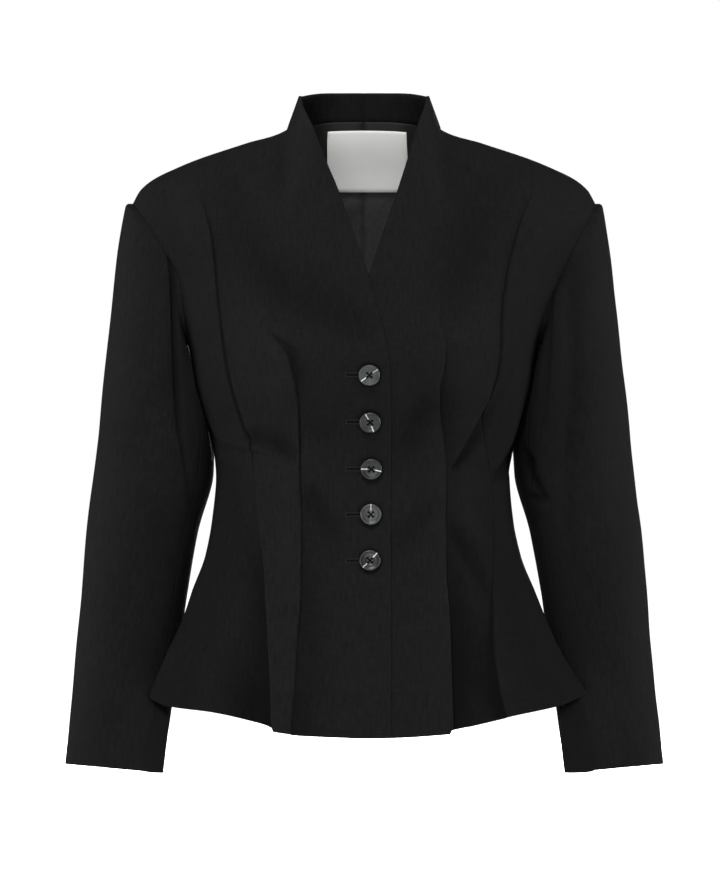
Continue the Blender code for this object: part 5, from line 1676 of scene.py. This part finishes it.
def thread(name, colour):
    """Twisted sewing thread, uneven along its twist; made once."""
    def make():
        material, tree, shader = new_material(name)
        where = add_node(tree, "ShaderNodeTexCoord")
        twist = noise_over(tree, where.outputs["Object"], Scale=2600.0, Detail=2.0)
        tint = colour_mix(tree, twist, tinted(colour, 0.6), tinted(colour, 1.4))
        tree.links.new(tint, shader.inputs["Base Color"])
        add_relief(tree, shader, twist, 0.4, 0.0001)
        set_sockets(shader, {"Roughness": 0.75, "Specular IOR Level": 0.03})
        return material

    return made_once(name, make)


def stitch_tree():
    """Geometry nodes that lay stitches along a path, each turned by an angle from the path's run."""
    name = "stitch_row"
    if name in bpy.data.node_groups:
        return bpy.data.node_groups[name]
    tree = bpy.data.node_groups.new(name, "GeometryNodeTree")
    face = tree.interface
    face.new_socket("Path", in_out="INPUT", socket_type="NodeSocketGeometry")
    for socket, default in (("Spacing", 0.0005), ("Stitch Length", 0.0024), ("Thread Radius", 0.0003), ("Turn", 0.0)):
        face.new_socket(socket, in_out="INPUT", socket_type="NodeSocketFloat").default_value = default
    face.new_socket("Finish", in_out="INPUT", socket_type="NodeSocketMaterial")
    face.new_socket("Stitches", in_out="OUTPUT", socket_type="NodeSocketGeometry")
    enter = tree.nodes.new("NodeGroupInput")
    leave = tree.nodes.new("NodeGroupOutput")
    link = tree.links.new
    curve = tree.nodes.new("GeometryNodeMeshToCurve")
    link(enter.outputs["Path"], curve.inputs[0])
    spaced = tree.nodes.new("GeometryNodeResampleCurve")
    spaced.mode = "LENGTH"
    link(curve.outputs[0], spaced.inputs["Curve"])
    link(enter.outputs["Spacing"], spaced.inputs["Length"])
    stitch = tree.nodes.new("GeometryNodeMeshUVSphere")
    set_sockets(stitch, {"Segments": 6, "Rings": 5, "Radius": 1.0})
    size = tree.nodes.new("ShaderNodeCombineXYZ")
    link(math_node(tree, "MULTIPLY", enter.outputs["Stitch Length"], 0.5), size.inputs[0])
    link(enter.outputs["Thread Radius"], size.inputs[1])
    link(enter.outputs["Thread Radius"], size.inputs[2])
    facing = add_node(tree, "GeometryNodeInputNamedAttribute", data_type="FLOAT_VECTOR")
    set_sockets(facing, {"Name": "facing"})
    run = tree.nodes.new("GeometryNodeInputTangent")
    upright = add_node(tree, "FunctionNodeAlignRotationToVector", axis="Z")
    link(facing.outputs[0], upright.inputs["Vector"])
    along = add_node(tree, "FunctionNodeAlignRotationToVector", axis="X", pivot_axis="Z")
    link(upright.outputs[0], along.inputs["Rotation"])
    link(run.outputs[0], along.inputs["Vector"])
    turn = tree.nodes.new("ShaderNodeCombineXYZ")
    link(enter.outputs["Turn"], turn.inputs[2])
    turned = tree.nodes.new("FunctionNodeRotateRotation")
    turned.rotation_space = "LOCAL"
    link(along.outputs[0], turned.inputs["Rotation"])
    link(turn.outputs[0], turned.inputs["Rotate By"])
    spread_out = tree.nodes.new("GeometryNodeInstanceOnPoints")
    link(spaced.outputs[0], spread_out.inputs["Points"])
    link(stitch.outputs["Mesh"], spread_out.inputs["Instance"])
    link(turned.outputs[0], spread_out.inputs["Rotation"])
    link(size.outputs[0], spread_out.inputs["Scale"])
    real = tree.nodes.new("GeometryNodeRealizeInstances")
    link(spread_out.outputs[0], real.inputs[0])
    soft = tree.nodes.new("GeometryNodeSetShadeSmooth")
    link(real.outputs[0], soft.inputs[0])
    finish = tree.nodes.new("GeometryNodeSetMaterial")
    link(soft.outputs[0], finish.inputs["Geometry"])
    link(enter.outputs["Finish"], finish.inputs["Material"])
    link(finish.outputs[0], leave.inputs[0])
    return tree


def stitch_rows(name, lines, length, radius, material):
    """A named piece of stitches across lines of front-view places on the right front."""
    vertices, edges, facings = [], [], []
    for line in lines:
        first = len(vertices)
        vertices.extend(np.array([(x, front_height(x, z) - STITCH_LIFT, z) for x, z in line]) * MM)
        edges.extend((first + index, first + index + 1) for index in range(len(line) - 1))
        facings.extend(button_seat(x, z)[1][:, 2] for x, z in line)
    mesh = bpy.data.meshes.new(name)
    mesh.from_pydata(vertices, edges, [])
    ways = mesh.attributes.new("facing", "FLOAT_VECTOR", "POINT")
    ways.data.foreach_set("vector", np.array(facings).ravel())
    piece = bpy.data.objects.new(name, mesh)
    bpy.context.collection.objects.link(piece)
    tree = stitch_tree()
    rows = piece.modifiers.new("stitches", "NODES")
    rows.node_group = tree
    sockets = {item.name: item.identifier for item in tree.interface.items_tree if item.in_out == "INPUT"}
    for socket, value in (("Spacing", STITCH_SPACING * MM), ("Stitch Length", length * MM),
                          ("Thread Radius", radius * MM), ("Turn", math.pi / 2), ("Finish", material)):
        rows[sockets[socket]] = value
    evaluated = piece.evaluated_get(bpy.context.evaluated_depsgraph_get())
    sewn = bpy.data.meshes.new_from_object(evaluated)
    piece.modifiers.clear()
    piece.data = sewn
    if not sewn.polygons:
        raise RuntimeError("no stitches were laid for " + name)
    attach(piece, BODY_NAME)
    return piece


class BLAZER_OT_buttons(Operator):
    """Make the five horn buttons and their crossed threads"""
    bl_idname = "blazer.buttons"
    bl_label = "Buttons"

    def execute(self, context):
        sewing = context.scene.blazer_sewing
        blank, faces = button_blank()
        crossed, crossed_faces = button_threads()
        finish = horn()
        yarn = thread("sewing_thread_and_slit_shade", sewing.thread_colour)
        for number, ((x, z), streak) in enumerate(zip(BUTTON_PLACES, BUTTON_STREAKS), start=1):
            centre, turned = button_seat(x, z)
            turn, first, second, apart, tone = streak
            cosine, sine = math.cos(math.radians(turn)), math.sin(math.radians(turn))
            flat = blank[:, :2] / BUTTON_RADIUS
            disc = np.stack([flat[:, 0] * cosine + flat[:, 1] * sine, flat[:, 1] * cosine - flat[:, 0] * sine], axis=1)
            piece = piece_from(f"button_{number}_horn", blank @ turned.T + centre, faces, finish, disc,
                               sharp_angle=BUTTON_SHARP, uv_name="disc")
            mark = piece.data.attributes.new("streak", "FLOAT_COLOR", "POINT")
            colour = (first, second, 0.5 + apart, tone)
            mark.data.foreach_set("color", np.tile(colour, len(piece.data.vertices)))
            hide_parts(f"button_{number}")
            cross = piece_from(f"button_{number}_thread", crossed @ turned.T + centre, crossed_faces, yarn)
        return {"FINISHED"}


class BLAZER_OT_buttonholes(Operator):
    """Sew the lips and end bars of the five buttonholes, and a dark thread line along each slit as painted shade in the
    cut
    """
    bl_idname = "blazer.buttonholes"
    bl_label = "Buttonholes"

    def execute(self, context):
        sewing = context.scene.blazer_sewing
        yarn = thread("buttonhole_thread", sewing.lip_colour)
        dark = thread("sewing_thread_and_slit_shade", sewing.thread_colour)
        lip_thread = sewing.lip_thread / MM
        lips, bars, slit_shades = [], [], []
        for x, z in BUTTON_PLACES:
            along = np.linspace(BUTTONHOLE_END_X, x, BUTTONHOLE_POINTS)
            lips += [[(step, z + offset) for step in along] for offset in (-LIP_SPREAD, LIP_SPREAD)]
            upright = np.linspace(-BAR_HALF_HEIGHT, BAR_HALF_HEIGHT, BAR_POINTS)
            bars.append([(BUTTONHOLE_END_X - BAR_OFFSET, z + step) for step in upright])
            # Painted shade: a dark thread line along each slit, where the cut between the lips lies in shade
            slit_shades.append([(step, z) for step in np.linspace(BUTTONHOLE_END_X + SLIT_INSET, x, BUTTONHOLE_POINTS)])
        for name, lines, length, radius, material in (("buttonhole_lips", lips, LIP_STITCH, lip_thread, yarn),
                                                      ("buttonhole_bars", bars, BAR_STITCH, lip_thread, yarn),
                                                      ("buttonhole_slit_shades", slit_shades, SLIT_STITCH, SLIT_THREAD, dark)):
            piece = stitch_rows(name, lines, length, radius, material)
        return {"FINISHED"}


class BLAZER_OT_stage(Operator):
    """Set up the floor, the lights and the camera"""
    bl_idname = "blazer.stage"
    bl_label = "Stage"

    def execute(self, context):
        stage = context.scene.blazer_stage
        make_floor(stage)
        make_lights(context.scene, stage)
        make_camera(context.scene, stage)
        return {"FINISHED"}


def make_floor(stage):
    """A flat pale floor under the garment, bright where the camera sees it."""
    material, tree, shader = new_material("stage_paper")
    where = add_node(tree, "ShaderNodeTexCoord")
    grain = noise_over(tree, where.outputs["Object"], Scale=3.0, Detail=2.0)
    tint = colour_mix(tree, grain, tinted(stage.floor_colour, 0.995), tuple(stage.floor_colour))
    tree.links.new(tint, shader.inputs["Base Color"])
    tree.links.new(tint, shader.inputs["Emission Color"])
    path = add_node(tree, "ShaderNodeLightPath")
    seen = math_node(tree, "MULTIPLY", path.outputs["Is Camera Ray"], stage.floor_glow)
    tree.links.new(seen, shader.inputs["Emission Strength"])
    set_sockets(shader, {"Roughness": 0.95, "Specular IOR Level": 0.0})
    mesh = bpy.data.meshes.new("stage_floor")
    corners = [(x * FLOOR_HALF, y * FLOOR_HALF, FLOOR_Z) for x, y in ((-1, -1), (1, -1), (1, 1), (-1, 1))]
    mesh.from_pydata(corners, [], [(0, 1, 2, 3)])
    mesh.materials.append(material)
    floor = bpy.data.objects.new("stage_floor", mesh)
    bpy.context.collection.objects.link(floor)


def make_lights(scene, stage):
    """Soft light from all round, a key above the front, and lights in front, on both sides, behind and in the neck."""
    world = bpy.data.worlds.new("studio")
    world.use_nodes = True
    background = world.node_tree.nodes["Background"]
    set_sockets(background, {"Color": (1, 1, 1, 1)})
    path = add_node(world.node_tree, "ShaderNodeLightPath")
    seen = math_node(world.node_tree, "MAXIMUM", path.outputs["Is Camera Ray"], stage.sky_strength)
    world.node_tree.links.new(seen, background.inputs["Strength"])
    scene.world = world
    powers = (stage.key_power, stage.side_power * LEFT_LIGHT_SHARE, stage.side_power, stage.front_power,
              stage.back_power)
    for (name, place, size), power in zip(LIGHTS, powers):
        light = bpy.data.lights.new(name, "AREA")
        light.shape = "DISK"
        light.size = size
        hang_light(light, place, LIGHT_AIM, power)
    spot = bpy.data.lights.new("neck_light", "SPOT")
    spot.spot_size = math.radians(NECK_LIGHT_ANGLE)
    spot.spot_blend = 1.0
    spot.shadow_soft_size = NECK_LIGHT_SOFTNESS
    hang_light(spot, NECK_LIGHT_PLACE, NECK_LIGHT_AIM, stage.neck_power)


def hang_light(light, place, aim, power):
    """Put a light in its place, aimed, and out of the camera's sight."""
    light.energy = power
    lamp = bpy.data.objects.new(light.name, light)
    lamp.location = place
    away = unit(np.array(place) - np.array(aim))
    lamp.rotation_euler = (math.acos(away[2]), 0, math.atan2(away[1], away[0]) + math.pi / 2)
    lamp.visible_camera = False
    bpy.context.collection.objects.link(lamp)


def make_camera(scene, stage):
    """The camera straight in front, level with the garment's middle."""
    camera = bpy.data.cameras.new("camera")
    camera.lens = stage.lens
    camera.sensor_width = SENSOR_WIDTH
    viewer = bpy.data.objects.new("camera", camera)
    viewer.location = (CAMERA_X, -stage.camera_distance, CAMERA_Z)
    viewer.rotation_euler = (math.pi / 2, 0, 0)
    bpy.context.collection.objects.link(viewer)
    scene.camera = viewer
    scene.view_settings.view_transform = "Standard"


class BLAZER_PT_panel(Panel):
    """Lists the settings and the steps"""
    bl_label = "Peplum Blazer"
    bl_idname = "BLAZER_PT_panel"
    bl_space_type = "VIEW_3D"
    bl_region_type = "UI"
    bl_category = "Blazer"

    def draw(self, context):
        for settings in (context.scene.blazer_cloth, context.scene.blazer_sewing, context.scene.blazer_stage):
            box = self.layout.box()
            for name in settings.__annotations__:
                box.prop(settings, name)
        for operator in STEPS:
            self.layout.operator(operator.bl_idname)


SETTINGS = (BlazerCloth, BlazerSewing, BlazerStage)
STEPS = (BLAZER_OT_stage, BLAZER_OT_fronts, BLAZER_OT_backs, BLAZER_OT_collar, BLAZER_OT_lining, BLAZER_OT_label,
         BLAZER_OT_sleeves, BLAZER_OT_buttons, BLAZER_OT_buttonholes)


def register():
    for item in (*SETTINGS, *STEPS, BLAZER_PT_panel):
        bpy.utils.register_class(item)
    bpy.types.Scene.blazer_cloth = PointerProperty(type=BlazerCloth)
    bpy.types.Scene.blazer_sewing = PointerProperty(type=BlazerSewing)
    bpy.types.Scene.blazer_stage = PointerProperty(type=BlazerStage)


def unregister():
    del bpy.types.Scene.blazer_stage
    del bpy.types.Scene.blazer_sewing
    del bpy.types.Scene.blazer_cloth
    for item in (BLAZER_PT_panel, *reversed(STEPS), *reversed(SETTINGS)):
        bpy.utils.unregister_class(item)


def main():
    register()
    bpy.ops.blazer.stage()
    bpy.ops.blazer.fronts()
    bpy.ops.blazer.backs()
    bpy.ops.blazer.collar()
    bpy.ops.blazer.lining()
    bpy.ops.blazer.label()
    bpy.ops.blazer.sleeves()
    bpy.ops.blazer.buttons()
    bpy.ops.blazer.buttonholes()


if __name__ == "__main__":
    main()
